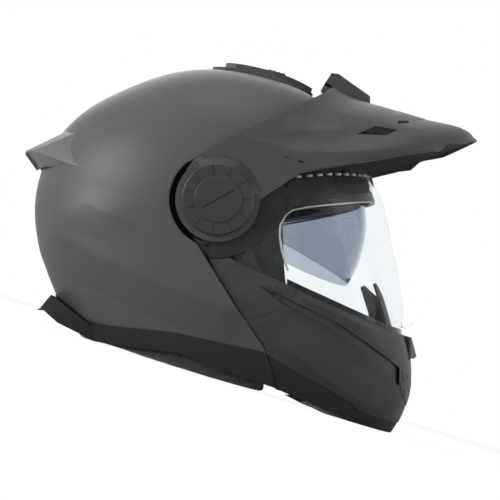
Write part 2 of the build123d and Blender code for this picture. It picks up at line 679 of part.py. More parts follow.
clear_drum = drum(DRUM_RADIUS, HALF_WIDTH - FRONT_STEP + EDGING_PROUD, (0, 0))
chin_rear = [(along + PART_GAP, up) for along, up in split]
chin_corners = [(far_front, far_down), (chin_rear[-1][0], far_down)]
chin_zone_part = side_prism(sill[1:] + chin_corners + chin_rear[::-1])
below_skirt = side_prism(skirt_line + [(far_front, far_down), (skirt_line[0][0], far_down)])
with BuildPart() as mouth_vent_box:
    with BuildSketch(side_plane(-MOUTH_VENT_WIDTH / 2)):
        with Locations((SHELL_LENGTH * (MOUTH_VENT_START_SHARE + 1), MOUTH_VENT_SHARE * SHELL_HEIGHT)):
            Rectangle(2 * SHELL_LENGTH, MOUTH_VENT_HEIGHT)
    extrude(amount=-MOUTH_VENT_WIDTH)
with BuildPart() as shield_sweep:
    add(both_pivots(SHIELD_PLATE_RADIUS + 2 * PART_GAP, CHIN_ARM_OUTER, REACH))
    with Locations((-SPAN / 2 - PIVOT_TUBE_RADIUS, 0, 0)):
        Box(SPAN, SPAN, SPAN, mode=Mode.SUBTRACT)
    add(both_pivots(PEAK_ARM_RADIUS + PART_GAP, CHIN_ARM_OUTER, REACH))
with BuildPart() as chin_hollow:
    add(shell_form(-CHIN_WALL))
    add(slab(CHIN_ARM_INNER), mode=Mode.INTERSECT)
with BuildPart() as chin_band:
    add(side_prism(spots(BAND_SHARES)))
    add(shell_form(-BAND_DEPTH), mode=Mode.SUBTRACT)
beak_plan = [(along * SHELL_LENGTH, across * 2 * HALF_WIDTH) for along, across in BEAK_PLAN_SHARES]
with BuildPart() as chin_beak:
    add(side_prism(spots(BEAK_SHARES)))
    add(plan_prism(beak_plan + [(along, -across) for along, across in beak_plan[::-1]]), mode=Mode.INTERSECT)
with BuildPart() as chin_bar:
    add(outer_form)
    add(chin_beak.part)
    add(slab(FLAT_SIDE), mode=Mode.INTERSECT)
    add(chin_zone_part, mode=Mode.INTERSECT)
    add(chin_hollow.part, mode=Mode.SUBTRACT)
    add(shield_sweep.part, mode=Mode.SUBTRACT)
    add(chin_band.part, mode=Mode.SUBTRACT)
    add(mouth_vent_box.part, mode=Mode.SUBTRACT)
    add(below_skirt, mode=Mode.SUBTRACT)
    for side in (RIGHT, LEFT):
        add(pivot_round(CHIN_ARM_RADIUS, CHIN_ARM_INNER, CHIN_ARM_OUTER, side))
        add(side_prism(spots(CHIN_NECK_SHARES), CHIN_ARM_INNER, CHIN_ARM_OUTER, side))
    add(both_pivots(PIVOT_TUBE_RADIUS + RUNNING_GAP, 0, REACH), mode=Mode.SUBTRACT)
keep(chin_bar, "chin_bar")

# Skirt along the lower edge of the chin bar and the curtain under the chin
SKIRT_LOW_SHARES = (
    (0.088, -0.556), (0.134, -0.578), (0.167, -0.591), (0.259, -0.642), (0.319, -0.674),
    (0.341, -0.691), (0.441, -0.727), (0.676, -0.800)
)
SKIRT_INSET = 0.6
CURTAIN_THICKNESS = 2.4
CURTAIN_SHARES = (
    (0.209, -0.622), (0.259, -0.654), (0.318, -0.685), (0.359, -0.704), (0.441, -0.727),
    (0.676, -0.800)
)
skirt_low = spots(SKIRT_LOW_SHARES)
skirt_inner_form = shell_form(-SKIRT_INSET - CHIN_WALL)
with BuildPart() as chin_skirt:
    add(shell_form(-SKIRT_INSET))
    add(skirt_inner_form, mode=Mode.SUBTRACT)
    add(chin_zone_part, mode=Mode.INTERSECT)
    add(side_prism(skirt_line + skirt_low[::-1]), mode=Mode.INTERSECT)
    add(ground, mode=Mode.SUBTRACT)
keep(chin_skirt, "chin_skirt")

curtain_low = spots(CURTAIN_SHARES)
curtain_high = [spot for spot in skirt_line if spot[0] > curtain_low[0][0]]
curtain_band = side_prism(curtain_low + curtain_high[::-1])
with BuildPart() as chin_curtain:
    add(skirt_inner_form)
    add(shell_form(-SKIRT_INSET - CHIN_WALL - CURTAIN_THICKNESS), mode=Mode.SUBTRACT)
    add(curtain_band, mode=Mode.INTERSECT)
    add(ground, mode=Mode.SUBTRACT)
keep(chin_curtain, "chin_curtain")

# Inside the chin bar: its impact liner, vent, deflector and top gasket
CHIN_LINER_SHARES = (
    (0.241, -0.363), (0.329, -0.404), (0.441, -0.456), (0.506, -0.474), (0.509, -0.563),
    (0.465, -0.659), (0.347, -0.600), (0.241, -0.519)
)
CHIN_LINER_THICKNESS = 20.0
GRILLE_INSET = 1.5
GRILLE_SLATS = 5
SLAT_GAP_SHARE = 0.55
SHUTTER_THICKNESS = 2.0
SHUTTER_SHARE = 0.465
SHUTTER_SLOTS = 3
SHUTTER_RIM = 3.0
SHUTTER_TAB_DEPTH = 7.0
SHUTTER_TAB_WIDTH = 5.0
DEFLECTOR_SHARES = (
    (0.341, -0.363), (0.365, -0.311), (0.394, -0.259), (0.418, -0.244), (0.441, -0.281),
    (0.471, -0.341), (0.488, -0.452), (0.341, -0.415)
)
DEFLECTOR_INSET = 15.5
DEFLECTOR_THICKNESS = 2.0
DEFLECTOR_HALF_WIDTH = 44.0
GASKET_DEPTH = 5.0
GASKET_RISE = 5.0
GASKET_SEAT = 5.0
GASKET_ENDS_SHARES = (0.172, 0.5)
BUTTON_LENGTH = 26.0
BUTTON_HEIGHT = 11.0
BUTTON_DEPTH = 14.0
BUTTON_TRAVEL = 4.0
BUTTON_WELL_DEPTH = 30.0
BUTTON_SHARES = ((0.447, -0.568),)
SHIELD_GROW = -SHIELD_WALL - FIT_GAP
with BuildPart() as button_well:
    button_at = spots(BUTTON_SHARES)[0]
    with BuildSketch(side_plane(-BUTTON_LENGTH / 2 - FIT_GAP)):
        with Locations((button_at[0] + BUTTON_TRAVEL, button_at[1])):
            Rectangle(BUTTON_WELL_DEPTH, BUTTON_HEIGHT + 2 * FIT_GAP)
    extrude(amount=-BUTTON_LENGTH - 2 * FIT_GAP)
with BuildPart() as chin_liner:
    add(shell_form(-CHIN_WALL - FIT_GAP))
    add(shell_form(-CHIN_WALL - CHIN_LINER_THICKNESS), mode=Mode.SUBTRACT)
    add(side_prism(spots(CHIN_LINER_SHARES)), mode=Mode.INTERSECT)
    add(clear_drum, mode=Mode.SUBTRACT)
    add(button_well.part, mode=Mode.SUBTRACT)
    add(mouth_vent_box.part, mode=Mode.SUBTRACT)
keep(chin_liner, "chin_liner")

with BuildPart() as release_button:
    with BuildSketch(side_plane(-BUTTON_LENGTH / 2)):
        with Locations(button_at):
            RectangleRounded(BUTTON_DEPTH, BUTTON_HEIGHT, BUTTON_HEIGHT / 5)
    extrude(amount=-BUTTON_LENGTH)
keep(release_button, "release_button")

vent_centre = (SHELL_LENGTH / 2, MOUTH_VENT_SHARE * SHELL_HEIGHT)
with BuildPart() as mouth_vent_grille:
    add(shell_form(-GRILLE_INSET))
    add(shell_form(-CHIN_WALL), mode=Mode.SUBTRACT)
    add(mouth_vent_box.part, mode=Mode.INTERSECT)
    pitch = (MOUTH_VENT_WIDTH - GRILLE_INSET) / GRILLE_SLATS
    for number in range(GRILLE_SLATS):
        across = (number - (GRILLE_SLATS - 1) / 2) * pitch
        with BuildSketch(side_plane(across + pitch * SLAT_GAP_SHARE / 2)):
            with Locations(vent_centre):
                Rectangle(SHELL_LENGTH / 2, MOUTH_VENT_HEIGHT - 2 * GRILLE_INSET)
        extrude(amount=pitch * SLAT_GAP_SHARE, mode=Mode.SUBTRACT)
keep(mouth_vent_grille, "mouth_vent_grille")

slat_pitch = (MOUTH_VENT_WIDTH - GRILLE_INSET) / GRILLE_SLATS
shutter_width = (SHUTTER_SLOTS + 1) * slat_pitch
with BuildPart() as mouth_vent_shutter:
    with BuildSketch(side_plane(-shutter_width / 2)):
        with Locations((SHUTTER_SHARE * SHELL_LENGTH, vent_centre[1])):
            Rectangle(SHUTTER_THICKNESS, MOUTH_VENT_HEIGHT - 2 * FIT_GAP)
    extrude(amount=-shutter_width)
    for number in range(SHUTTER_SLOTS):
        across = (number - (SHUTTER_SLOTS - 1) / 2) * slat_pitch
        with BuildSketch(side_plane(across + slat_pitch * SLAT_GAP_SHARE / 2)):
            with Locations(vent_centre):
                Rectangle(SHELL_LENGTH / 2, MOUTH_VENT_HEIGHT - 2 * SHUTTER_RIM)
        extrude(amount=slat_pitch * SLAT_GAP_SHARE, mode=Mode.SUBTRACT)
    with BuildSketch(side_plane(slat_pitch / 2 + SHUTTER_TAB_WIDTH / 2)):
        with Locations((SHUTTER_SHARE * SHELL_LENGTH, vent_centre[1])):
            Rectangle(SHUTTER_TAB_DEPTH, SHUTTER_TAB_WIDTH, align=(Align.MAX, Align.CENTER))
    extrude(amount=SHUTTER_TAB_WIDTH)
keep(mouth_vent_shutter, "mouth_vent_shutter")

with BuildPart() as breath_deflector:
    add(shell_form(-DEFLECTOR_INSET))
    add(shell_form(-DEFLECTOR_INSET - DEFLECTOR_THICKNESS), mode=Mode.SUBTRACT)
    add(side_prism(spots(DEFLECTOR_SHARES)), mode=Mode.INTERSECT)
    add(slab(DEFLECTOR_HALF_WIDTH), mode=Mode.INTERSECT)
    add(chin_liner.part, mode=Mode.SUBTRACT)
keep(breath_deflector, "breath_deflector")


def sill_band(low, high, ends):
    """A band along the chin bar's top edge, from one height beside it to another."""
    back, front = [share * SHELL_LENGTH for share in ends]
    with BuildPart() as band:
        with BuildSketch(side_plane()):
            with BuildLine():
                lower = [(along, up + low) for along, up in sill]
                upper = [(along, up + high) for along, up in sill]
                Polyline(*(lower + upper[::-1]), close=True)
            make_face()
            with Locations(((back + front) / 2, 0)):
                Rectangle(front - back, SPAN, mode=Mode.INTERSECT)
        extrude(amount=REACH, both=True)
    return band.part


shield_inside = form(SHIELD_SHARES, SHIELD_HALF_WIDTH, SHIELD_GROW - FIT_GAP)
shield_deep = form(SHIELD_SHARES, SHIELD_HALF_WIDTH, SHIELD_GROW - GASKET_DEPTH)
with BuildPart() as gasket_seat:
    add(sill_band(-GASKET_SEAT, PART_GAP, GASKET_ENDS_SHARES))
    add(shell_form(-CHIN_WALL - FIT_GAP), mode=Mode.INTERSECT)
    add(slab(CHIN_ARM_INNER - FIT_GAP), mode=Mode.INTERSECT)
    add(shield_deep, mode=Mode.SUBTRACT)
with BuildPart() as chin_gasket:
    add(sill_band(FIT_GAP, GASKET_RISE, GASKET_ENDS_SHARES))
    add(shield_inside, mode=Mode.INTERSECT)
    add(shield_deep, mode=Mode.SUBTRACT)
    add(gasket_seat.part)
keep(chin_gasket, "chin_gasket")

# Clear face shield, with dark base plates over its arms
SHIELD_TOP_SHARES = (
    (0.168, -0.069), (0.205, -0.027), (0.262, 0.046), (0.335, 0.118), (0.412, 0.130), (0.471, 0.133)
)
SHIELD_TAB_SHARES = (
    (0.485, -0.381), (0.529, -0.369), (0.532, -0.376), (0.485, -0.404)
)
SHIELD_TAB_PLAN_SHARES = ((0.44, 0.11), (0.515, 0.085), (0.534, 0.045))
SHIELD_PLATE_START = -100.0
SHIELD_PLATE_STOP = -40.0
SHIELD_EYE_RADIUS = 26.0
shield_top = spots(SHIELD_TOP_SHARES)
shield_low = [(along, up + PART_GAP) for along, up in sill[2:]]
start_angle, stop_angle = math.radians(SHIELD_PLATE_START), math.radians(SHIELD_PLATE_STOP)
with BuildSketch() as plate_outline:
    with BuildLine():
        sweep_angle = SHIELD_PLATE_STOP - SHIELD_PLATE_START
        rim = CenterArc((0, 0), SHIELD_PLATE_RADIUS, SHIELD_PLATE_START, sweep_angle)
        Polyline(rim @ 1, (0, 0), rim @ 0)
    make_face()
    Circle(SHIELD_EYE_RADIUS)
with BuildPart() as shield_zone:
    with BuildSketch(side_plane()):
        add(plate_outline.sketch)
        with BuildLine():
            edge = SHIELD_PLATE_RADIUS
            rim_high = (edge * math.cos(stop_angle), edge * math.sin(stop_angle))
            rim_low = (edge * math.cos(start_angle) / 2, edge * math.sin(start_angle) / 2)
            Polyline(*([rim_low] + shield_low + shield_top[::-1] + [rim_high]), close=True)
        make_face()
    extrude(amount=REACH, both=True)
with BuildPart() as shield_hollow:
    add(form(SHIELD_SHARES, SHIELD_HALF_WIDTH, -SHIELD_WALL))
    add(slab(SHIELD_INNER), mode=Mode.INTERSECT)
tab_plan = [(along * SHELL_LENGTH, across * 2 * HALF_WIDTH) for along, across in SHIELD_TAB_PLAN_SHARES]
with BuildPart() as shield_tab:
    add(side_prism(spots(SHIELD_TAB_SHARES)))
    add(plan_prism(tab_plan + [(along, -across) for along, across in tab_plan[::-1]]), mode=Mode.INTERSECT)
with BuildPart() as face_shield:
    add(form(SHIELD_SHARES, SHIELD_HALF_WIDTH))
    add(shield_tab.part)
    add(slab(SHIELD_OUTER), mode=Mode.INTERSECT)
    add(shield_hollow.part, mode=Mode.SUBTRACT)
    add(shield_zone.part, mode=Mode.INTERSECT)
    add(both_pivots(PIVOT_TUBE_RADIUS + RUNNING_GAP, 0, REACH), mode=Mode.SUBTRACT)
keep(face_shield, "face_shield")

with BuildPart() as shield_base_plate_right:
    with BuildSketch(from_side(SHIELD_OUTER, PLATE_OUTER, RIGHT)):
        add(plate_outline.sketch)
        Circle(PIVOT_TUBE_RADIUS + RUNNING_GAP, mode=Mode.SUBTRACT)
    extrude(amount=BASE_PLATE_THICKNESS)
keep(shield_base_plate_right, "shield_base_plate_right")
with BuildPart() as shield_base_plate_left:
    add(mirror(shield_base_plate_right.part, about=Plane.XZ))
keep(shield_base_plate_left, "shield_base_plate_left")

# Peak with its arms, side vents and rear scoop
PEAK_SLOT_SHARES = (
    (0.462, 0.259), (0.494, 0.265), (0.494, 0.276), (0.466, 0.272)
)
PEAK_VENT_SHARES = (
    (0.347, 0.215), (0.400, 0.246), (0.459, 0.237), (0.424, 0.213)
)
SCOOP_SHARES = (
    (0.297, 0.356), (0.297, 0.422), (0.309, 0.450), (0.329, 0.448), (0.415, 0.380), (0.415, 0.333)
)
SCOOP_HOLLOW_SHARES = (
    (0.265, 0.356), (0.265, 0.422), (0.306, 0.439), (0.326, 0.437), (0.385, 0.391), (0.385, 0.333)
)
SCOOP_PLAN_SHARES = ((0.28, -0.122), (0.28, 0.122), (0.42, 0.06), (0.42, -0.06))
SCOOP_WALL = 2.5
peak_zone_points = peak_side + [(far_front, far_up), (peak_top[-1][0], far_up)] + peak_top[::-1]
with BuildPart() as peak_zone:
    with BuildSketch(side_plane()):
        with BuildLine():
            Polyline(*peak_zone_points, close=True)
        make_face()
        Circle(PEAK_ARM_RADIUS)
    extrude(amount=REACH, both=True)
with BuildPart() as peak_hollow:
    add(form(PEAK_SHARES, PEAK_HALF_WIDTH, -PEAK_WALL))
    add(slab(PEAK_INNER), mode=Mode.INTERSECT)
peak_outer_form = form(PEAK_SHARES, PEAK_HALF_WIDTH)
peak_vent = side_prism(spots(PEAK_VENT_SHARES))
with BuildPart() as peak:
    add(peak_outer_form)
    add(slab(PEAK_OUTER), mode=Mode.INTERSECT)
    add(peak_hollow.part, mode=Mode.SUBTRACT)
    add(peak_zone.part, mode=Mode.INTERSECT)
    add(peak_vent, mode=Mode.SUBTRACT)
    add(side_prism(spots(PEAK_SLOT_SHARES)), mode=Mode.SUBTRACT)
    add(both_pivots(PIVOT_TUBE_RADIUS + RUNNING_GAP, 0, REACH), mode=Mode.SUBTRACT)
keep(peak, "peak")

scoop_plan = [(along * SHELL_LENGTH, across * 2 * HALF_WIDTH) for along, across in SCOOP_PLAN_SHARES]
scoop_room = [(along, across - math.copysign(SCOOP_WALL, across)) for along, across in scoop_plan]
with BuildPart() as scoop_hollow:
    add(side_prism(spots(SCOOP_HOLLOW_SHARES)))
    add(plan_prism(scoop_room), mode=Mode.INTERSECT)
with BuildPart() as peak_scoop:
    add(side_prism(spots(SCOOP_SHARES)))
    add(plan_prism(scoop_plan), mode=Mode.INTERSECT)
    add(scoop_hollow.part, mode=Mode.SUBTRACT)
    add(peak_outer_form, mode=Mode.SUBTRACT)
keep(peak_scoop, "peak_scoop")

# Smoke sun visor behind the shield, on two pins, with its lever on the left edge
SUN_OUTLINE_SHARES = (
    (0.068, -0.022), (0.079, -0.078), (0.141, -0.115), (0.185, -0.141), (0.212, -0.159),
    (0.266, -0.196), (0.326, -0.233), (0.415, -0.281), (0.500, -0.222), (0.500, 0.048), (0.235, 0.048),
    (0.153, 0.015), (0.088, 0.015)
)
SUN_PIN_RADIUS = 4.0
SUN_PIN_FLANGE = 10.0
SUN_PIN_FLANGE_THICKNESS = 2.0
SUN_PIN_NEAR = 93.3
LEVER_SHARES = ((0.000, -0.381),)
LEVER_LENGTH = 22.0
LEVER_HEIGHT = 7.0
LEVER_THICKNESS = 2.4
LEVER_TRAVEL = 12.0
LEVER_RIBS = 4
with BuildPart() as sun_visor:
    add(drum(SUN_RADIUS, SUN_HALF_WIDTH, sun_axis))
    add(drum(SUN_RADIUS - SUN_WALL, SUN_HALF_WIDTH - SUN_WALL, sun_axis), mode=Mode.SUBTRACT)
    add(side_prism(spots(SUN_OUTLINE_SHARES)), mode=Mode.INTERSECT)
    add(both_pivots(SUN_PIN_RADIUS + RUNNING_GAP, 0, REACH, sun_axis), mode=Mode.SUBTRACT)
keep(sun_visor, "sun_visor")

wall_inside = POCKET_FLOOR - SHELL_WALL
with BuildPart() as sun_visor_pins:
    add(both_pivots(SUN_PIN_RADIUS, SUN_PIN_NEAR, wall_inside, sun_axis))
    add(both_pivots(SUN_PIN_FLANGE, wall_inside - SUN_PIN_FLANGE_THICKNESS, wall_inside, sun_axis))
keep(sun_visor_pins, "sun_visor_pins")

lever_centre = spots(LEVER_SHARES)[0]
lever_start = side_plane().from_local_coords(Vector(*lever_centre))
to_space = side_plane().from_local_coords
groove_run = to_space(Vector(*groove[5])) - to_space(Vector(*groove[4]))
lever_plane = touch_plane(outer_form, lever_start, Vector(0, LEFT, 0), groove_run.normalized())
with BuildPart() as sun_visor_lever:
    with BuildSketch(lever_plane.offset(FIT_GAP)):
        with Locations((-LEVER_TRAVEL / 2, 0)):
            SlotOverall(LEVER_LENGTH, LEVER_HEIGHT)
    extrude(amount=LEVER_THICKNESS)
    with BuildSketch(lever_plane.offset(FIT_GAP + LEVER_THICKNESS)):
        with Locations((-LEVER_TRAVEL / 2, 0)):
            with GridLocations(LEVER_LENGTH / LEVER_RIBS / 2, 0, LEVER_RIBS, 1):
                Rectangle(RIB_WIDTH, LEVER_HEIGHT - RIB_WIDTH)
    extrude(amount=RIB_WIDTH)
keep(sun_visor_lever, "sun_visor_lever")

# Latch: pins on the shell, hooks and their pins on the chin bar
LATCH_PIN_SHARES = ((0.129, -0.437),)
LATCH_PIN_RADIUS = 3.0
HOOK_PIN_SHARES = ((0.218, -0.452),)
HOOK_PIN_RADIUS = 2.45
HOOK_SHARES = (
    (0.107, -0.407), (0.176, -0.411), (0.229, -0.426), (0.238, -0.452), (0.218, -0.478),
    (0.197, -0.459), (0.176, -0.433), (0.138, -0.423), (0.121, -0.423), (0.117, -0.429),
    (0.107, -0.429)
)
HOOK_NEAR = 89.5
HOOK_THICKNESS = 3.0
HOOK_COLLAR_RADIUS = 5.0
latch_pin_at = spots(LATCH_PIN_SHARES)[0]
hook_pin_at = spots(HOOK_PIN_SHARES)[0]
with BuildPart() as latch_pins:
    add(both_pivots(LATCH_PIN_RADIUS, LATCH_NEAR, REACH, latch_pin_at))
    add(shell_inside, mode=Mode.INTERSECT)
keep(latch_pins, "latch_pins")
with BuildPart() as latch_hook_right:
    with BuildSketch(from_side(HOOK_NEAR, HOOK_NEAR + HOOK_THICKNESS, RIGHT)):
        with BuildLine():
            Polyline(*spots(HOOK_SHARES), close=True)
        make_face()
        with Locations(hook_pin_at):
            Circle(HOOK_PIN_RADIUS + RUNNING_GAP, mode=Mode.SUBTRACT)
    extrude(amount=HOOK_THICKNESS)
keep(latch_hook_right, "latch_hook_right")
with BuildPart() as latch_hook_left:
    add(mirror(latch_hook_right.part, about=Plane.XZ))
keep(latch_hook_left, "latch_hook_left")
with BuildPart() as latch_hook_pins:
    add(both_pivots(HOOK_PIN_RADIUS, LATCH_NEAR, REACH, hook_pin_at))
    add(both_pivots(HOOK_COLLAR_RADIUS, HOOK_NEAR + HOOK_THICKNESS + FIT_GAP, REACH, hook_pin_at))
    add(chin_hollow.part, mode=Mode.INTERSECT)
keep(latch_hook_pins, "latch_hook_pins")

# Chin strap with its ratchet buckle, closed across the neck opening
STRAP_WIDTH = 22.0
STRAP_THICKNESS = 2.0
STRAP_AT = 30.0
STRAP_ACROSS = 73.0
STRAP_TOP = 88.0
STRAP_LOW = 22.0
STRAP_BEND = 14.0
STRAP_END = 16.0
RIVET_RADIUS = 6.0
SNAP_RADIUS = 5.0
SNAP_SHARES = (
    (-0.065, -0.207), (0.118, -0.207), (-0.059, -0.341)
)
BUCKLE_LENGTH = 38.0
BUCKLE_WIDTH = 26.0
BUCKLE_WALL = 2.0
BUCKLE_HEIGHT = 9.0
TONGUE_LENGTH = 52.0
TONGUE_WIDTH = 16.0
TONGUE_THICKNESS = 2.4
TOOTH_COUNT = 9
TOOTH_DEPTH = 1.0
BUCKLE_LEVER_LENGTH = 24.0
BUCKLE_LEVER_THICKNESS = 2.5
BUCKLE_PIN_RADIUS = 1.5
BUCKLE_EAR_RADIUS = 3.2


def cross_plane(along):
    """Plane across the helmet at one distance forward of the pivot: x to the left, y up."""
    return Plane(origin=(along, 0, 0), x_dir=(0, 1, 0), z_dir=(1, 0, 0))


strap_plane = cross_plane(STRAP_AT - STRAP_WIDTH / 2)
with BuildPart() as chin_strap_right:
    with BuildSketch(strap_plane):
        with BuildLine():
            drop = Line((-STRAP_ACROSS, STRAP_TOP), (-STRAP_ACROSS, STRAP_LOW + STRAP_BEND))
            bend = TangentArc(drop @ 1, (-STRAP_ACROSS + STRAP_BEND, STRAP_LOW), tangent=(0, -1))
            Line(bend @ 1, (-STRAP_END, STRAP_LOW))
        trace(line_width=STRAP_THICKNESS)
    extrude(amount=STRAP_WIDTH)
keep(chin_strap_right, "chin_strap_right")
with BuildPart() as chin_strap_left:
    add(mirror(chin_strap_right.part, about=Plane.XZ))
keep(chin_strap_left, "chin_strap_left")

strap_rivet_centre = (STRAP_AT, STRAP_TOP - RIVET_RADIUS - STRAP_THICKNESS)
with BuildPart() as strap_rivets:
    for side in (RIGHT, LEFT):
        rivet_face = side * (STRAP_ACROSS + STRAP_THICKNESS / 2)
        rivet_plane = Plane(origin=(0, rivet_face, 0), x_dir=(1, 0, 0), z_dir=(0, side, 0))
        with BuildSketch(rivet_plane):
            with Locations((strap_rivet_centre[0], -side * strap_rivet_centre[1])):
                Circle(RIVET_RADIUS)
        extrude(amount=STRAP_ACROSS)
    add(head_form, mode=Mode.INTERSECT)
keep(strap_rivets, "strap_rivets")

with BuildPart() as pad_snaps:
    for snap_at in spots(SNAP_SHARES):
        add(both_pivots(SNAP_RADIUS, CHEEK_OUTER, REACH, snap_at))
    add(head_form, mode=Mode.INTERSECT)
keep(pad_snaps, "pad_snaps")

buckle_low = STRAP_LOW - STRAP_THICKNESS / 2 - BUCKLE_WALL
buckle_at = -STRAP_END / 2
buckle_edge = STRAP_AT - BUCKLE_WIDTH / 2
lever_pin_at = (buckle_at - BUCKLE_LENGTH / 2 + BUCKLE_EAR_RADIUS, buckle_low - FIT_GAP - BUCKLE_EAR_RADIUS)
with BuildPart() as buckle_body:
    with BuildSketch(cross_plane(buckle_edge)):
        with Locations((buckle_at, buckle_low)):
            Rectangle(BUCKLE_LENGTH, BUCKLE_HEIGHT, align=(Align.CENTER, Align.MIN))
        with Locations(lever_pin_at):
            Circle(BUCKLE_EAR_RADIUS)
            Rectangle(2 * BUCKLE_EAR_RADIUS, 2 * BUCKLE_EAR_RADIUS, align=(Align.CENTER, Align.MIN))
    extrude(amount=BUCKLE_WIDTH)
    with BuildSketch(cross_plane(buckle_edge + BUCKLE_WALL)):
        with Locations((buckle_at, buckle_low + BUCKLE_WALL)):
            Rectangle(2 * BUCKLE_LENGTH, 2 * BUCKLE_HEIGHT, align=(Align.CENTER, Align.MIN))
        with Locations((buckle_at, buckle_low)):
            Rectangle(2 * BUCKLE_LENGTH, 2 * BUCKLE_HEIGHT, align=(Align.CENTER, Align.MAX))
    extrude(amount=BUCKLE_WIDTH - 2 * BUCKLE_WALL, mode=Mode.SUBTRACT)
    with BuildSketch(cross_plane(buckle_edge)):
        with Locations(lever_pin_at):
            Circle(BUCKLE_PIN_RADIUS)
    extrude(amount=BUCKLE_WIDTH)
keep(buckle_body, "buckle_body")

tongue_low = STRAP_LOW + STRAP_THICKNESS / 2 + FIT_GAP
tooth_pitch = (TONGUE_LENGTH - BUCKLE_LENGTH / 2) / TOOTH_COUNT
with BuildPart() as ratchet_tongue:
    with BuildSketch(cross_plane(STRAP_AT - TONGUE_WIDTH / 2)):
        with Locations((-STRAP_END / 2, tongue_low)):
            Rectangle(TONGUE_LENGTH, TONGUE_THICKNESS, align=(Align.MIN, Align.MIN))
        for number in range(TOOTH_COUNT):
            with BuildLine():
                start = -STRAP_END / 2 + number * tooth_pitch
                top = tongue_low + TONGUE_THICKNESS
                Polyline((start, top), (start, top + TOOTH_DEPTH), (start + tooth_pitch, top), close=True)
            make_face()
    extrude(amount=TONGUE_WIDTH)
keep(ratchet_tongue, "ratchet_tongue")

with BuildPart() as buckle_lever:
    with BuildSketch(cross_plane(buckle_edge + BUCKLE_WALL + FIT_GAP)):
        with Locations(lever_pin_at):
            Circle(BUCKLE_EAR_RADIUS)
        with Locations((lever_pin_at[0], buckle_low - FIT_GAP)):
            Rectangle(BUCKLE_LEVER_LENGTH, BUCKLE_LEVER_THICKNESS, align=(Align.MIN, Align.MAX))
        with Locations(lever_pin_at):
            Circle(BUCKLE_PIN_RADIUS + RUNNING_GAP, mode=Mode.SUBTRACT)
    extrude(amount=BUCKLE_WIDTH - 2 * BUCKLE_WALL - 2 * FIT_GAP)
keep(buckle_lever, "buckle_lever")
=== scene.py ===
import json
import math

import bmesh
import bpy
import numpy as np
from mathutils import Matrix, Vector


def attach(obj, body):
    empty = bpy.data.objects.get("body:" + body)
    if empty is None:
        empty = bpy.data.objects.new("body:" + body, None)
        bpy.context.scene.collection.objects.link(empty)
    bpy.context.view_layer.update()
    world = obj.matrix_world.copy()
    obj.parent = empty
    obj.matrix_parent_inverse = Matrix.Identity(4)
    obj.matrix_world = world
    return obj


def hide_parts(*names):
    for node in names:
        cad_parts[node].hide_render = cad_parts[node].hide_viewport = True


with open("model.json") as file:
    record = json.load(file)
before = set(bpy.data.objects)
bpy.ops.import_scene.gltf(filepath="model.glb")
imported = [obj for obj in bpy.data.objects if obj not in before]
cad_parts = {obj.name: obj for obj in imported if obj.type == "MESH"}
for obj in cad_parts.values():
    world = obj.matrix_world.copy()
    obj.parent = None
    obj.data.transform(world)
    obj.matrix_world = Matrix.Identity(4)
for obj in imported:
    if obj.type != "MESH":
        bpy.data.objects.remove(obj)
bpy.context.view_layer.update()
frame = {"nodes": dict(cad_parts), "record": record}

# The helmet's own sizes, in metres and degrees
PIVOT_HEIGHT = 0.143
HEAD_PITCH = 17.3
ROUNDNESS = 2.15
TILT = math.radians(HEAD_PITCH)
MM = 0.001

# The photograph's view: the camera stands level with the pivots, a little to the rear of square on
CAMERA_DISTANCE = 1.5
CAMERA_TURN = -3.3
CAMERA_RISE = -3.0
VIEW_WIDTH = 0.45
SENSOR_WIDTH = 36.0
VIEW_CENTRE = (0.03384, 0.0, -0.03528)


def worn(along, across, up):
    """A place given as the helmet is worn, from the pivot axis, carried to the standing helmet."""
    return Vector((along * math.cos(TILT) - up * math.sin(TILT), across,
                   along * math.sin(TILT) + up * math.cos(TILT) + PIVOT_HEIGHT))


def worn_turn(direction):
    """A direction given as the helmet is worn, in the standing helmet's frame."""
    return worn(*direction) - worn(0, 0, 0)


def new_object(name, places, faces, edges=()):
    """A plain mesh object from places in metres, linked to the scene."""
    mesh = bpy.data.meshes.new(name)
    mesh.from_pydata([tuple(place) for place in places], edges, faces)
    made = bpy.data.objects.new(name, mesh)
    bpy.context.scene.collection.objects.link(made)
    return made


def set_camera():
    turn, rise = math.radians(CAMERA_TURN), math.radians(CAMERA_RISE)
    back = Vector((math.sin(turn) * math.cos(rise), -math.cos(turn) * math.cos(rise), math.sin(rise)))
    right = Vector((math.cos(turn), math.sin(turn), 0))
    up = back.cross(right)
    back, right, up = worn_turn(back), worn_turn(right), worn_turn(up)
    data = bpy.data.cameras.new("photo_camera")
    data.sensor_width = SENSOR_WIDTH
    data.lens = SENSOR_WIDTH * CAMERA_DISTANCE / VIEW_WIDTH
    camera = bpy.data.objects.new("photo_camera", data)
    place = Matrix((right, up, back)).transposed().to_4x4()
    place.translation = worn(*VIEW_CENTRE) + back * CAMERA_DISTANCE
    camera.matrix_world = place
    bpy.context.scene.collection.objects.link(camera)
    bpy.context.scene.camera = camera


set_camera()
bpy.context.scene.view_settings.view_transform = "Standard"


# Studio: white room, pale floor and large soft lamps
WHITE = (1, 1, 1, 1)
ROOM_COLOUR = (0.9, 0.93, 1.0, 1)
ROOM_LIGHT = 0.15
FLOOR_REACH = 6.0
FLOOR_COLOUR = (0.85, 0.85, 0.85, 1)
FLOOR_GLOW = 1.12
FLOOR_GLOW_SHARE = 0.82


def joined_maths(tree, operation, first, second):
    """A maths node over a link and another link or a number."""
    made = tree.nodes.new("ShaderNodeMath")
    made.operation = operation
    tree.links.new(first, made.inputs[0])
    if isinstance(second, float):
        made.inputs[1].default_value = second
    else:
        tree.links.new(second, made.inputs[1])
    return made.outputs[0]


def light_node(tree, kind, colour, strength=None):
    made = tree.nodes.new("ShaderNode" + kind)
    made.inputs["Color"].default_value = colour
    if strength is not None:
        made.inputs["Strength"].default_value = strength
    return made.outputs[0]


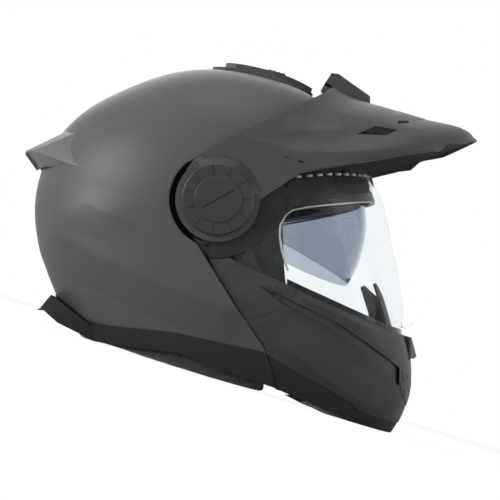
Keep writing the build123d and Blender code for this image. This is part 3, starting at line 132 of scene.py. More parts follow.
def blend(tree, share, plain, bright, ending):
    """Mixes two shaders by a share and ends the tree with the result."""
    mix, out = tree.nodes.new("ShaderNodeMixShader"), tree.nodes.new("ShaderNode" + ending)
    tree.links.new(share, mix.inputs["Fac"])
    tree.links.new(plain, mix.inputs[1])
    tree.links.new(bright, mix.inputs[2])
    tree.links.new(mix.outputs[0], out.inputs["Surface"])


def white_room():
    world = bpy.data.worlds.new("studio")
    bpy.context.scene.world = world
    world.use_nodes = True
    tree = world.node_tree
    tree.nodes.clear()
    rays = tree.nodes.new("ShaderNodeLightPath").outputs
    seen = joined_maths(tree, "MAXIMUM", rays["Is Camera Ray"], rays["Is Transmission Ray"])
    shown = joined_maths(tree, "MAXIMUM", seen, rays["Is Glossy Ray"])
    blend(tree, shown, light_node(tree, "Background", ROOM_COLOUR, ROOM_LIGHT),
          light_node(tree, "Background", WHITE, 1.0), "OutputWorld")


def pale_floor():
    corners = [(-FLOOR_REACH, -FLOOR_REACH, 0), (FLOOR_REACH, -FLOOR_REACH, 0),
               (FLOOR_REACH, FLOOR_REACH, 0), (-FLOOR_REACH, FLOOR_REACH, 0)]
    floor = new_object("floor", corners, [(0, 1, 2, 3)])
    paper = bpy.data.materials.new("floor_paper")
    paper.use_nodes = True
    tree = paper.node_tree
    tree.nodes.clear()
    rays = tree.nodes.new("ShaderNodeLightPath").outputs
    seen = joined_maths(tree, "MAXIMUM", rays["Is Camera Ray"], rays["Is Transmission Ray"])
    share = joined_maths(tree, "MULTIPLY", seen, FLOOR_GLOW_SHARE)
    blend(tree, share, light_node(tree, "BsdfDiffuse", FLOOR_COLOUR),
          light_node(tree, "Emission", WHITE, FLOOR_GLOW), "OutputMaterial")
    floor.data.materials.append(paper)


def soft_lamp(name, place, aim, width, height, power):
    data = bpy.data.lights.new(name, "AREA")
    data.shape = "RECTANGLE"
    data.size, data.size_y = width, height
    data.energy = power
    lamp = bpy.data.objects.new(name, data)
    lamp.location = place
    lamp.rotation_euler = (Vector(aim) - Vector(place)).to_track_quat("-Z", "Y").to_euler()
    bpy.context.scene.collection.objects.link(lamp)


white_room()
pale_floor()
soft_lamp("rear_lamp", (-2.1, -1.0, 0.55), (0, 0, 0.14), 1.0, 1.2, 62)
soft_lamp("top_lamp", (-0.3, -0.2, 2.1), (0, 0, 0.2), 1.2, 0.8, 9)
soft_lamp("side_lamp", (0.9, -2.2, 0.5), (0.03, 0, 0.12), 1.0, 0.8, 5)
soft_lamp("front_lamp", (1.9, -0.4, 0.9), (0, 0, 0.12), 0.8, 1.0, 9)
soft_lamp("far_lamp", (-0.4, 2.0, 1.2), (0, 0, 0.14), 1.4, 1.2, 14)


# Forms and tools
OUTLINE_STEPS = 60
FINE_STEPS = 4000
CREASE_STEPS = 60
ROUNDING_STEPS = 5
FAR_OFF = 1e9
MIRROR = np.array([1, -1, 1])


def stand(places):
    """Worn millimetres, rows of (along, across, up), carried to the standing helmet in metres."""
    along, across, up = np.asarray(places, float).T
    return np.stack([(along * math.cos(TILT) - up * math.sin(TILT)) * MM, across * MM,
                     (along * math.sin(TILT) + up * math.cos(TILT)) * MM + PIVOT_HEIGHT], axis=1)


class Hull:
    """A lofted form of the helmet: a smooth outline in the side view, rounded off towards the pivots."""

    def __init__(self, outline, half_width):
        knots = np.array(outline, float)
        step = np.hypot(*(np.roll(knots, -1, 0) - knots).T)
        count = len(knots)
        matrix, right = np.zeros((count, count)), np.zeros((count, 2))
        for row in range(count):
            after = (row + 1) % count
            matrix[row, row - 1] += step[row - 1]
            matrix[row, row] += 2 * (step[row - 1] + step[row])
            matrix[row, after] += step[row]
            leaving = (knots[after] - knots[row]) / step[row]
            arriving = (knots[row] - knots[row - 1]) / step[row - 1]
            right[row] = 6 * (leaving - arriving)
        bend = np.linalg.solve(matrix, right)
        share = np.linspace(0, 1, OUTLINE_STEPS, endpoint=False)[:, None]
        curve = []
        for row in range(count):
            after = (row + 1) % count
            rest = 1 - share
            curve.append(rest * knots[row] + share * knots[after] + step[row] ** 2 / 6 * (
                (rest ** 3 - rest) * bend[row] + (share ** 3 - share) * bend[after]))
        along, up = np.concatenate(curve).T
        angle, radius = np.arctan2(up, along), np.hypot(along, up)
        order = np.argsort(angle)
        turn = 2 * math.pi
        self.angles = np.concatenate([angle[order] - turn, angle[order], angle[order] + turn])
        self.radii = np.tile(radius[order], 3)
        self.half_width = half_width

    def radius(self, angle):
        return np.interp((angle + math.pi) % (2 * math.pi) - math.pi, self.angles, self.radii)

    def place(self, angle, turn, grow=0.0):
        """The point at an angle round the pivot, turned from the mid-plane (0) to the pivot (a right angle)."""
        reach = np.cos(turn) ** (2 / ROUNDNESS) * (self.radius(angle) + grow)
        across = np.sin(turn) ** (2 / ROUNDNESS) * (self.half_width + grow)
        return np.stack([reach * np.cos(angle), across, reach * np.sin(angle)], axis=-1)

    def over(self, points, grow=0.0):
        """The places on the form that lie over points of the side view."""
        along, up = points[..., 0], points[..., 1]
        angle = np.arctan2(up, along)
        share = np.clip(np.hypot(along, up) / self.radius(angle), 0, 1)
        return self.place(angle, np.arccos(share ** (ROUNDNESS / 2)), grow)

    def inside(self, points):
        """The stretch of a line that lies within the form's side view, ending on its outline."""
        fine = walk(points, FINE_STEPS)
        share = np.hypot(*fine.T) / self.radius(np.arctan2(fine[:, 1], fine[:, 0]))
        kept = fine[share <= 1]
        if share[0] > 1:
            kept[0] /= share[share <= 1][0]
        if share[-1] > 1:
            kept[-1] /= share[share <= 1][-1]
        return kept

    def rim(self, start, finish, count):
        """Even steps along the mid-plane outline, between two angles in degrees."""
        angle = np.radians(np.linspace(start, finish, count))
        reach = self.radius(angle)
        return np.stack([reach * np.cos(angle), reach * np.sin(angle)], axis=1)


def run_along(points):
    """How far each point of a line lies from its start."""
    return np.concatenate([[0], np.cumsum(np.hypot(*np.diff(points, axis=0).T))])


def walk(points, count):
    """Even steps along a line through the points."""
    points = np.array(points, float)
    run = run_along(points)
    even = np.linspace(0, run[-1], count)
    return np.stack([np.interp(even, run, points[:, 0]), np.interp(even, run, points[:, 1])], axis=1)


def soften(points, passes=2):
    """Rounds the corners of an open line by cutting them."""
    points = np.array(points, float)
    for _ in range(passes):
        near = points[:-1] * 0.75 + points[1:] * 0.25
        far = points[:-1] * 0.25 + points[1:] * 0.75
        inner = np.stack([near, far], axis=1).reshape(-1, 2)
        points = np.concatenate([points[:1], inner[1:-1], points[-1:]])
    return points


def arc(radius, start, finish, count):
    """Points round the pivot, between two angles in degrees."""
    turn = np.radians(np.linspace(start, finish, count))
    return np.stack([radius * np.cos(turn), radius * np.sin(turn)], axis=1)


def crease(points, height, above, below, fade=30.0):
    """A ridge along a line of the side view, sloping off to both sides and fading at its ends."""
    line = walk(points, CREASE_STEPS)
    run = run_along(line)

    def raise_by(along, up):
        spot = np.stack([along.ravel(), up.ravel()], axis=1)
        best = np.full(len(spot), FAR_OFF)
        side = np.zeros(len(spot))
        place = np.zeros(len(spot))
        for number in range(len(line) - 1):
            start, step = line[number], line[number + 1] - line[number]
            share = np.clip(((spot - start) @ step) / (step @ step), 0, 1)
            gap = spot - start - share[:, None] * step
            distance = np.hypot(*gap.T)
            closer = distance < best
            best[closer] = distance[closer]
            side[closer] = step[0] * gap[closer, 1] - step[1] * gap[closer, 0]
            place[closer] = run[number] + share[closer] * np.hypot(*step)
        width = np.where(side > 0, above, below)
        slope = np.clip(1 - best / width, 0, 1)
        end = np.clip(np.minimum(place, run[-1] - place) / fade, 0, 1)
        return (height * slope * end * end * (3 - 2 * end)).reshape(along.shape)
    return raise_by


def shade_smooth(piece, sharp_angle=None):
    """Smooth shading, with the edges over an angle in degrees kept sharp."""
    for face in piece.data.polygons:
        face.use_smooth = True
    if sharp_angle:
        piece.data.set_sharp_from_angle(angle=math.radians(sharp_angle))
    return piece


def finish_mesh(piece, sharp_angle=32):
    """Welds a mesh, turns its faces outward and shades it."""
    work = bmesh.new()
    work.from_mesh(piece.data)
    bmesh.ops.remove_doubles(work, verts=work.verts, dist=1e-6)
    bmesh.ops.dissolve_degenerate(work, edges=work.edges, dist=1e-7)
    bmesh.ops.recalc_face_normals(work, faces=work.faces)
    work.to_mesh(piece.data)
    work.free()
    return shade_smooth(piece, sharp_angle)


def body(name, places, faces):
    """A finished mesh object from worn millimetres."""
    return finish_mesh(new_object(name, stand(places).tolist(), faces))


def settle(piece):
    """Turns a piece and its modifiers into one plain mesh."""
    shown = bpy.context.evaluated_depsgraph_get()
    mesh = bpy.data.meshes.new_from_object(piece.evaluated_get(shown))
    piece.modifiers.clear()
    piece.data = mesh


def strips(rows, columns, first, flip):
    """Quads over a grid of numbered points, rows by columns, from the first number on."""
    faces = []
    for row in range(rows - 1):
        for column in range(columns - 1):
            near = first + row * columns + column
            quad = (near, near + 1, near + columns + 1, near + columns)
            faces.append(quad[::-1] if flip else quad)
    return faces


def tube(name, rings, sides, slot, sharp_angle):
    """A closed tube from rings of places in metres, each with the same number of sides."""
    faces = []
    for first in range(0, len(rings) - sides, sides):
        for side in range(sides):
            near, following = first + side, first + (side + 1) % sides
            faces.append((near, following, following + sides, near + sides))
    faces += [tuple(range(sides))[::-1], tuple(range(len(rings) - sides, len(rings)))]
    return finish_as(finish_mesh(new_object(name, rings, faces), sharp_angle), slot)


def mirrored_body(name, places, faces):
    """A finished mesh object with its twin on the other side of the mid-plane."""
    places = np.asarray(places, float)
    twin = [tuple(corner + len(places) for corner in face[::-1]) for face in faces]
    return body(name, np.concatenate([places, places * MIRROR]), faces + twin)


def panel(name, hull, start, finish, free, wall, proud=0.0, rows=90, round_off=0.8, relief=(), flat=None):
    """A moulded panel over a hull, from its edge (start) to its other edge or the mid-plane (finish).

    start and finish hold one point of the side view for each column; free is 1 where the finish is an edge.
    flat is the farthest that the outer face may lie from the mid-plane.
    """
    columns = len(start)
    share = np.sin(np.linspace(0, math.pi / 2, 49))[:, None, None]
    trail = hull.over(start[None] * (1 - share) + finish[None] * share)
    run = np.concatenate([np.zeros((1, columns)),
                          np.cumsum(np.linalg.norm(np.diff(trail, axis=0), axis=2), axis=0)])
    length = run[-1]
    quarter = np.radians(np.linspace(0, 90, ROUNDING_STEPS))
    near_run, near_drop = round_off * (1 - np.cos(quarter)), round_off * (1 - np.sin(quarter))

    def spread(count, rounded):
        share = np.linspace(0, 1, count)[:, None]
        if not rounded:
            return share * length, np.zeros((count, columns))
        room = np.minimum(1, length / (round_off * 4 + 1e-9))
        begin = near_run[:, None] * room
        middle = round_off * room + share[1:-1] * (length - round_off * room * (1 + free))
        end = length - near_run[::-1][:, None] * room * free
        # towards the mid-plane the last rows close up instead of rounding off
        closing = np.linspace(0.8, 0, ROUNDING_STEPS)[:, None] * 0.2
        end = np.where(free > 0, end, length - (length / count) * closing)
        falls = np.concatenate([near_drop[:, None] * room, np.zeros((count - 2, columns)),
                                near_drop[::-1][:, None] * room * free])
        return np.concatenate([begin, middle, end]), falls

    def lay(distance, falls, grow, marked):
        along = np.empty_like(distance)
        for column in range(columns):
            along[:, column] = np.interp(distance[:, column], run[:, column], share[:, 0, 0])
        spot = start[None] * (1 - along[..., None]) + finish[None] * along[..., None]
        if marked:
            grow = grow + sum(mark(spot[..., 0], spot[..., 1]) for mark in relief)
        place = hull.over(spot, grow - falls)
        if flat is not None:
            limit = flat + (0 if marked else -wall)
            place[..., 1] = np.minimum(place[..., 1], limit - falls)
        return place

    outer = lay(*spread(rows, True), proud, True)
    inner = lay(*spread(max(rows // 3, 8), False), proud - wall, False)
    count = outer.shape[0] * columns
    places = np.concatenate([outer.reshape(-1, 3), inner.reshape(-1, 3)])
    faces = strips(outer.shape[0], columns, 0, False) + strips(inner.shape[0], columns, count, True)
    for column in range(columns - 1):
        faces.append((column, count + column, count + column + 1, column + 1))
    last_outer, last_inner = count - columns, count + (inner.shape[0] - 1) * columns
    for column in range(columns - 1):
        if free[column] > 0 or free[column + 1] > 0:
            faces.append((last_outer + column, last_outer + column + 1,
                          last_inner + column + 1, last_inner + column))
    return mirrored_body(name, places, faces)


def prism(name, points, low, high):
    """A block with a side view drawn in worn millimetres, between two distances from the mid-plane."""
    count = len(points)
    places = [(x, low, z) for x, z in points] + [(x, high, z) for x, z in points]
    faces = [tuple(range(count)), tuple(range(2 * count - 1, count - 1, -1))]
    faces += [(i, i + count, (i + 1) % count + count, (i + 1) % count) for i in range(count)]
    return body(name, places, faces)


def carve(piece, *cutters):
    """Cuts a piece by others, which are used up."""
    for cutter in cutters:
        step = piece.modifiers.new("cut", "BOOLEAN")
        step.operation = "DIFFERENCE"
        step.solver = "MANIFOLD"
        step.object = cutter
    settle(piece)
    for cutter in cutters:
        bpy.data.objects.remove(cutter)
    return finish_mesh(piece)


# Finishes
class Finish:
    """A Principled material with its node tree at hand."""

    def __init__(self, name, colour, roughness, **settings):
        self.material = bpy.data.materials.new(name)
        self.material.use_nodes = True
        self.tree = self.material.node_tree
        self.shader = self.tree.nodes["Principled BSDF"]
        self.shader.inputs["Base Color"].default_value = (*colour, 1)
        self.shader.inputs["Roughness"].default_value = roughness
        for socket, value in settings.items():
            self.shader.inputs[socket.replace("_", " ")].default_value = value
        self.place = self.tree.nodes.new("ShaderNodeTexCoord").outputs["Object"]
        self.height = None

    def node(self, kind, **inputs):
        made = self.tree.nodes.new("ShaderNode" + kind)
        for name, value in inputs.items():
            made.inputs[name.replace("_", " ")].default_value = value
        return made

    def link(self, source, target):
        self.tree.links.new(source, target)

    def bump(self, height, strength, distance):
        made = self.node("Bump", Strength=strength, Distance=distance)
        self.link(height, made.inputs["Height"])
        if self.height is not None:
            self.link(self.height, made.inputs["Normal"])
        self.height = made.outputs["Normal"]
        self.link(self.height, self.shader.inputs["Normal"])

    def noise(self, scale, detail=3.0):
        made = self.node("TexNoise", Scale=scale, Detail=detail)
        self.link(self.place, made.inputs["Vector"])
        return made.outputs["Fac"]

    def vary(self, source, socket, low, high):
        """Carries a pattern into a socket, between two values."""
        span = self.tree.nodes.new("ShaderNodeMapRange")
        span.inputs["To Min"].default_value = low
        span.inputs["To Max"].default_value = high
        self.link(source, span.inputs["Value"])
        self.link(span.outputs["Result"], self.shader.inputs[socket])

    def tint(self, source, dark, light):
        """Colours the finish by a pattern, between two colours."""
        ramp = self.tree.nodes.new("ShaderNodeValToRGB")
        ramp.color_ramp.elements[0].color = (*dark, 1)
        ramp.color_ramp.elements[1].color = (*light, 1)
        ramp.color_ramp.elements[0].position = 0.3
        ramp.color_ramp.elements[1].position = 0.7
        self.link(source, ramp.inputs["Fac"])
        self.link(ramp.outputs["Color"], self.shader.inputs["Base Color"])


def grey(level, cool=0.04):
    """A slightly cool grey, from its shade on screen between 0 and 1."""
    linear = level ** 2.2
    return (linear * (1 - cool), linear, linear * (1 + cool))


def grained(name, colour, roughness, gloss):
    """A finish with a fine grain and a slightly uneven shine."""
    made = Finish(name, colour, roughness, Specular_IOR_Level=gloss)
    made.bump(made.noise(900.0, 2.0), 0.25, 0.00006)
    made.vary(made.noise(14.0), "Roughness", roughness - 0.05, roughness + 0.05)
    return made


def moulded(name, level, roughness, cool=0.04, gloss=0.3):
    """Moulded plastic or soft lacquer, faintly clouded."""
    shade = grey(level, cool)
    made = grained(name, shade, roughness, gloss)
    made.tint(made.noise(9.0), [part * 0.94 for part in shade], [part * 1.06 for part in shade])
    return made


def knitted(name, level, pitch=0.0016):
    """Knitted mesh fabric with small open cells."""
    made = Finish(name, grey(level), 0.9, Sheen_Weight=0.35, Sheen_Roughness=0.5)
    cells = made.node("TexVoronoi", Scale=1 / pitch, Randomness=0.15)
    made.link(made.place, cells.inputs["Vector"])
    made.bump(cells.outputs["Distance"], 0.8, 0.0005)
    made.tint(cells.outputs["Distance"], grey(level * 1.35), grey(level * 0.55))
    return made


def woven(name, level, pitch=0.0011):
    """Tightly woven strap, ribbed on the slant."""
    made = Finish(name, grey(level), 0.75, Sheen_Weight=0.3)
    ribs = made.node("TexWave", Scale=1 / pitch / 6.28, Distortion=0.3)
    ribs.bands_direction = "DIAGONAL"
    made.link(made.place, ribs.inputs["Vector"])
    made.bump(ribs.outputs["Fac"], 0.6, 0.0003)
    made.tint(ribs.outputs["Fac"], grey(level * 0.75), grey(level * 1.2))
    return made


def glassy(name, colour, roughness):
    """A thin clear sheet that hardly bends the light."""
    made = Finish(name, colour, roughness, Transmission_Weight=1.0, IOR=1.12)
    made.vary(made.noise(20.0), "Roughness", max(0.0, roughness - 0.01), roughness + 0.02)
    return made


def foamed(name, level):
    """Moulded foam beads."""
    made = Finish(name, grey(level), 0.8)
    beads = made.node("TexVoronoi", Scale=330.0)
    made.link(made.place, beads.inputs["Vector"])
    made.bump(beads.outputs["Distance"], 0.5, 0.0004)
    made.tint(beads.outputs["Distance"], grey(level * 1.15), grey(level * 0.7))
    return made


def metal(name, level, roughness):
    """Brushed, unevenly bright metal."""
    made = Finish(name, grey(level, 0.01), roughness, Metallic=1.0)
    made.bump(made.noise(700.0, 2.0), 0.2, 0.00003)
    made.vary(made.noise(60.0), "Roughness", roughness - 0.06, roughness + 0.08)
    return made


def red(name):
    made = Finish(name, (0.42, 0.02, 0.02), 0.4)
    made.bump(made.noise(800.0, 2.0), 0.2, 0.00005)
    made.vary(made.noise(20.0), "Roughness", 0.35, 0.45)
    return made


FINISHES = {
    "matte_shell": moulded("soft_touch_lacquer", 0.28, 0.5),
    "peak_plastic": moulded("peak_lacquer", 0.25, 0.5),
    "chin_plastic": moulded("chin_lacquer", 0.21, 0.48),
    "trim_rubber": moulded("edge_rubber", 0.13, 0.6, cool=0.0),
    "gasket_rubber": moulded("seal_rubber", 0.09, 0.55, cool=0.0),
    "pivot_plastic": moulded("satin_plastic", 0.19, 0.4),
    "vent_plastic": moulded("vent_moulding", 0.26, 0.5),
    "spoiler_plastic": moulded("spoiler_moulding", 0.36, 0.5),
    "clear_shield": glassy("clear_polycarbonate", (0.94, 0.955, 0.965), 0.02),
    "smoke_visor": glassy("smoke_polycarbonate", (0.5, 0.53, 0.6), 0.05),
    "foam_liner": foamed("expanded_foam", 0.2),
    "pad_fabric": knitted("knitted_mesh", 0.16),
    "webbing": woven("strap_webbing", 0.14),
    "steel": metal("plain_steel", 0.62, 0.32),
    "curtain_fabric": knitted("curtain_mesh", 0.5),
    "red_plastic": red("red_pull"),
    # pale glossy grey, painted highlight: the shine along the eye port's black gasket edge, and on the brow
    # teeth
    "pale_painted_highlight": moulded("eye_port_painted_highlight", 0.62, 0.25, gloss=0.6),
    "red_thread": grained("stitch_thread", (0.5, 0.02, 0.02), 0.8, 0.3),
}

slots = {part["node"]: part["material_slot"] for part in frame["record"]["subparts"]}
body_of = {node: name for name, nodes in frame["record"]["behaviour"]["bodies"].items() for node in nodes}
pieces = frame["nodes"]


def finish_as(piece, slot):
    """Gives a piece one of the finishes."""
    piece.data.materials.clear()
    piece.data.materials.append(FINISHES[slot].material)
    return piece


for name, node in pieces.items():
    finish_as(node, slots[name])

# Outlines of the hull, in millimetres round the pivot axis as the helmet is worn
SHELL = Hull(((178, -150), (173, -110), (163, -70), (155, -30), (149, 10), (136.5, 43), (118, 76), (88, 103),
              (45, 119.5), (0, 126), (-40, 121.5), (-80, 106.7), (-115, 87), (-146, 50), (-158.5, -5),
              (-153, -38), (-140, -74), (-112, -130), (-60, -205), (20, -248), (110, -240), (165, -192)), 124)
PEAK = Hull(((236, 65.5), (196, 81), (154, 93), (123, 102.5), (103.5, 114), (63, 136), (0, 146), (-95, 113),
             (-150, 0), (-80, -139), (90, -156), (188, -68), (230, 32)), 130)
SHELL_PIVOT_RING = 40.0
PEAK_PIVOT_RING = 36.0
SKIN = 1.3
SKIN_BED = 1.5
BED_CLEAR = 0.5
BED_ROWS = 24


def copy_of(node, name):
    """A welded copy of a constructed piece, to be worked on."""
    made = bpy.data.objects.new(name, pieces[node].data.copy())
    bpy.context.scene.collection.objects.link(made)
    return finish_mesh(made)


def join(name, *parts):
    """One object from several, each keeping its own finish."""
    with bpy.context.temp_override(active_object=parts[0], selected_editable_objects=list(parts)):
        bpy.ops.object.join()
    parts[0].name = parts[0].data.name = name
    return parts[0]


def stand_in(piece, node):
    """Puts a finished piece in a constructed one's place, on the same body."""
    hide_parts(node)
    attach(piece, body_of[node])


def edge_to_mid(hull, edge, far=None, over_the_back=False):
    """Pairs a panel's edge with the mid-plane, then with its far edge if it has one."""
    last = far[0] if far is not None else edge[-1]
    begin, end = (math.degrees(math.atan2(point[1], point[0])) for point in (edge[0], last))
    far_count = 0 if far is None else len(far)
    top = hull.rim(begin, end + (360 if over_the_back else 0), len(edge) - far_count)
    top[0], top[-1] = edge[0], last
    if far is None:
        return edge, top, np.zeros(len(edge))
    free = np.concatenate([np.zeros(len(top)), np.clip(np.linspace(0, 12, far_count), 0, 1)])
    return edge, np.concatenate([top, far]), free


def skin_over(node, name, hull, paired, slot, relief, rows, under=None, flat=None, cuts=()):
    """Lays a fine moulded skin over a constructed piece, whose own surface is taken down to make its bed."""
    bed = panel(node + "_bed", hull, *paired, wall=SKIN_BED + BED_CLEAR, proud=BED_CLEAR, rows=BED_ROWS,
                round_off=0.01, flat=None if flat is None else flat + BED_CLEAR)
    core = carve(copy_of(node, node + "_core"), bed)
    skin = panel(node + "_skin", hull, *paired, wall=SKIN, rows=rows, relief=relief, flat=flat)
    if cuts:
        carve(skin, *cuts)
    made = join(name, finish_as(skin, slot), finish_as(core, under or slot))
    stand_in(made, node)


# Shell: rear panel from the peak's rear edge round the pivot and down the split line
rear_edge = np.concatenate([
    walk(SHELL.inside(soften([(97, 101), (85, 90.4), (62, 77), (18, 55.2),
                              (-19, 33.8), (-26, 30.4)], 1)), 90),
    arc(SHELL_PIVOT_RING, 130.5, 244.7, 42)[1:-1],
    walk([(-17.4, -36), (-2.6, -60), (16.9, -91), (37.6, -120), (41, -126.5)], 110)])
groove_edge = walk(SHELL.inside(soften([(-150, -66.5), (-132, -81.5), (-106, -101.8), (-37, -109.2),
                                        (2.5, -118.4), (36, -125.4), (41, -126.5)], 1)), 100)
shell_creases = [
    crease([(-153.8, -13), (-107, -38.7), (-50, -66), (-14, -80.5), (31, -99.4)], 5.0, 42, 30, 30),
    crease([(-126, 5), (-96, -6), (-60, -22)], 3.0, 16, 24, 34),
    crease([(-152.7, 3.2), (-104, -12.2)], 1.6, 22, 20, 22)]
# The core under the shell's skin is finished in the dark trim rubber: partly the real black frame round the eye
# port, partly painted shade in the gaps between panels and in the front zone under the peak and visor
skin_over("outer_shell", "shell_made", SHELL, edge_to_mid(SHELL, rear_edge, groove_edge, True), "matte_shell",
          shell_creases, rows=96, under="trim_rubber")

# Peak: from its rear edge, round the pivot cover and along its lower edge to the tip
peak_edge = np.concatenate([
    walk(PEAK.inside(soften([(113, 117), (100, 102), (85, 91.5), (62, 78), (18, 56.4), (-15, 37.4)], 1)), 90),
    arc(PEAK_PIVOT_RING, 110, 2, 42)[1:-1],
    walk(PEAK.inside(soften([(35.5, 0.5), (43, 6), (61, 18), (69.5, 23), (84, 26), (128, 34), (183, 45.5),
                             (192.5, 46), (201, 54), (219.5, 56), (240, 64)], 1)), 130)])
peak_creases = [
    crease([(48.8, 57.2), (80, 59), (115.7, 60.4)], 1.8, 16, 10, 20),
    crease([(8.5, 36.3), (61.7, 37.8), (120, 41.5), (200, 49)], 2.4, 15, 8, 20),
    crease([(77.6, 81.9), (130.4, 70.5), (190, 62)], 2.2, 14, 12, 22)]
peak_cuts = [prism("peak_vent_cut", [(118, 58), (136, 66.5), (156, 64), (144, 57.5)], -140, 140),
             prism("peak_slot_cut", [(157, 70), (168, 71.5), (168, 74.5), (158.5, 73.5)], -140, 140)]
skin_over("peak", "peak_made", PEAK, edge_to_mid(PEAK, peak_edge), "peak_plastic", peak_creases,
          rows=80, flat=122.1, cuts=peak_cuts)

# Chin bar: along the sill, down the split line and along the skirt's groove
chin_edge = np.concatenate([
    walk(SHELL.inside([(190, -117), (149.4, -108.7), (112.3, -93.8), (77.3, -79.1), (43.5, -64),
                       (18.5, -53.1), (-2.5, -40.4)]), 130),
    walk([(-3.5, -39.9), (-15.5, -36.9)], 8),
    walk([(-15.2, -37.4), (-0.4, -60), (19.1, -91), (39.8, -120), (43.2, -128.8)], 80),
    walk(SHELL.inside([(43.4, -129.2), (70, -144), (115, -169), (121, -175.5), (154, -186.5),
                       (185, -194)]), 100)])
chin_creases = [
    crease([(46.5, -114.3), (90, -146), (125, -169), (147, -172)], 2.6, 24, 9, 20),
    crease([(30, -62.5), (43.5, -69), (77.3, -84), (112.3, -98.5), (149, -113), (175, -119)], 1.5, 6, 18, 20)]
chin_band = [(34, -71), (61, -83), (104, -103), (147, -131), (160, -140), (160, -156), (140, -140),
             (94, -107), (60, -90)]
chin_cuts = [prism("band_cut", chin_band, low, high) for low, high in ((-130, -44), (44, 130))]
skin_over("chin_bar", "chin_made", SHELL, edge_to_mid(SHELL, chin_edge), "chin_plastic", chin_creases,
          rows=80, flat=115.5, cuts=chin_cuts)

# Spoiler: a folded wing whose facets meet at the tip, closed against the shell
def facets(name, points, faces, slot, rounding=0.9):
    """A faceted solid, mirrored over the mid-plane, with its edges lightly rounded."""
    made = mirrored_body(name, points, faces)
    edge = made.modifiers.new("edge", "BEVEL")
    edge.width, edge.segments = rounding * MM, 3
    edge.limit_method, edge.angle_limit = "ANGLE", math.radians(8)
    settle(made)
    return finish_as(shade_smooth(made, 34), slot)


spoiler_points = [(-130, 0, 69.5), (-128.8, -37, 66.6), (-120.8, -58, 62.3), (-116, -84, 30.3),
                  (-168, 0, 51), (-166, -22, 50.3), (-157, -43, 48.6), (-138, -68, 39),
                  (-153.2, 0, 35.4), (-153, -22, 35.2), (-149, -43, 34.2),
                  (-122, 0, 44), (-120, -37, 40), (-113, -58, 34), (-110, -78, 28)]
spoiler_faces = [(0, 1, 5, 4), (1, 2, 6, 5), (2, 3, 7, 6), (4, 5, 9, 8), (5, 6, 10, 9), (6, 7, 3, 10),
                 (8, 9, 12, 11), (9, 10, 13, 12), (10, 3, 14, 13),
                 (0, 11, 12, 1), (1, 12, 13, 2), (2, 13, 14, 3)]
stand_in(facets("spoiler_made", spoiler_points, spoiler_faces, "spoiler_plastic"), "rear_spoiler")


# Soft goods: padded pieces are swelled by a short cloth run from a slightly smaller copy of their solid
CLOTH_FRAMES = 20
CLOTH_STIFFNESS = 12
CLOTH_PRESSURE = 4.0
PAD_INSET = 0.0018


def places_and_normals(piece):
    places = np.empty(len(piece.data.vertices) * 3)
    normals = np.empty(len(piece.data.vertices) * 3)
    piece.data.vertices.foreach_get("co", places)
    piece.data.vertex_normals.foreach_get("vector", normals)
    return places.reshape(-1, 3), normals.reshape(-1, 3)


def put_places(piece, places):
    piece.data.vertices.foreach_set("co", places.ravel())
    piece.data.update()


def stuffed(node, name, voxel, cap=0.0035):
    """A padded piece: the solid's copy remeshed, swelled by pressure, held near its place, and smoothed."""
    pad = copy_of(node, name)
    places, normals = places_and_normals(pad)
    put_places(pad, places - normals * PAD_INSET)
    step = pad.modifiers.new("remesh", "REMESH")
    step.mode = "VOXEL"
    step.voxel_size = voxel
    settle(pad)
    rest = places_and_normals(pad)[0]
    cloth = pad.modifiers.new("cloth", "CLOTH")
    cloth.settings.use_pressure = True
    cloth.settings.uniform_pressure_force = CLOTH_PRESSURE
    cloth.settings.tension_stiffness = CLOTH_STIFFNESS
    cloth.settings.compression_stiffness = CLOTH_STIFFNESS
    cloth.settings.effector_weights.gravity = 0
    cloth.point_cache.frame_start, cloth.point_cache.frame_end = 1, CLOTH_FRAMES
    for frame_number in range(1, CLOTH_FRAMES + 1):
        bpy.context.scene.frame_set(frame_number)
    settle(pad)
    bpy.context.scene.frame_set(1)
    moved = places_and_normals(pad)[0] - rest
    reach = np.linalg.norm(moved, axis=1, keepdims=True)
    moved *= np.minimum(1, cap / np.maximum(reach, 1e-9))
    put_places(pad, rest + moved)
    level = pad.modifiers.new("subdivide", "SUBSURF")
    level.levels = level.render_levels = 1
    settle(pad)
    finish_as(shade_smooth(pad), "pad_fabric")
    stand_in(pad, node)
    return pad


def channel(piece, points, depth, width):
    """Presses a sewn channel into a padded piece along a line of the side view, on both sides of the head."""
    line = walk(points, CREASE_STEPS)
    places, normals = places_and_normals(piece)
    along = (places[:, 0] * math.cos(TILT) + (places[:, 2] - PIVOT_HEIGHT) * math.sin(TILT)) / MM
    up = (-places[:, 0] * math.sin(TILT) + (places[:, 2] - PIVOT_HEIGHT) * math.cos(TILT)) / MM
    spot = np.stack([along, up], axis=1)
    gap = np.full(len(spot), FAR_OFF)
    for point in line:
        gap = np.minimum(gap, np.hypot(*(spot - point).T))
    press = depth * MM * np.exp(-(gap / width) ** 2)
    put_places(piece, places - normals * press[:, None])


crown_pad = stuffed("crown_comfort_pad", "crown_pad_made", voxel=0.0055)
cheek_right = stuffed("cheek_pad_right", "cheek_pad_right_made", voxel=0.004)
cheek_left = stuffed("cheek_pad_left", "cheek_pad_left_made", voxel=0.004)
stuffed("neck_roll", "neck_roll_made", voxel=0.004, cap=0.0025)
for cheek in (cheek_right, cheek_left):
    channel(cheek, [(-12, -92), (12, -76), (40, -70), (56, -64)], 2.2, 2.2)
for line in ([(-90, 55), (-40, 72), (20, 75), (75, 62)], [(-20, 20), (-20, 96)], [(-70, -6), (-96, 30)]):
    channel(crown_pad, line, 2.5, 2.5)


STRAP_WIDTH = 0.022
STRAP_THICKNESS = 0.002
STRAP_BEVEL = 0.86


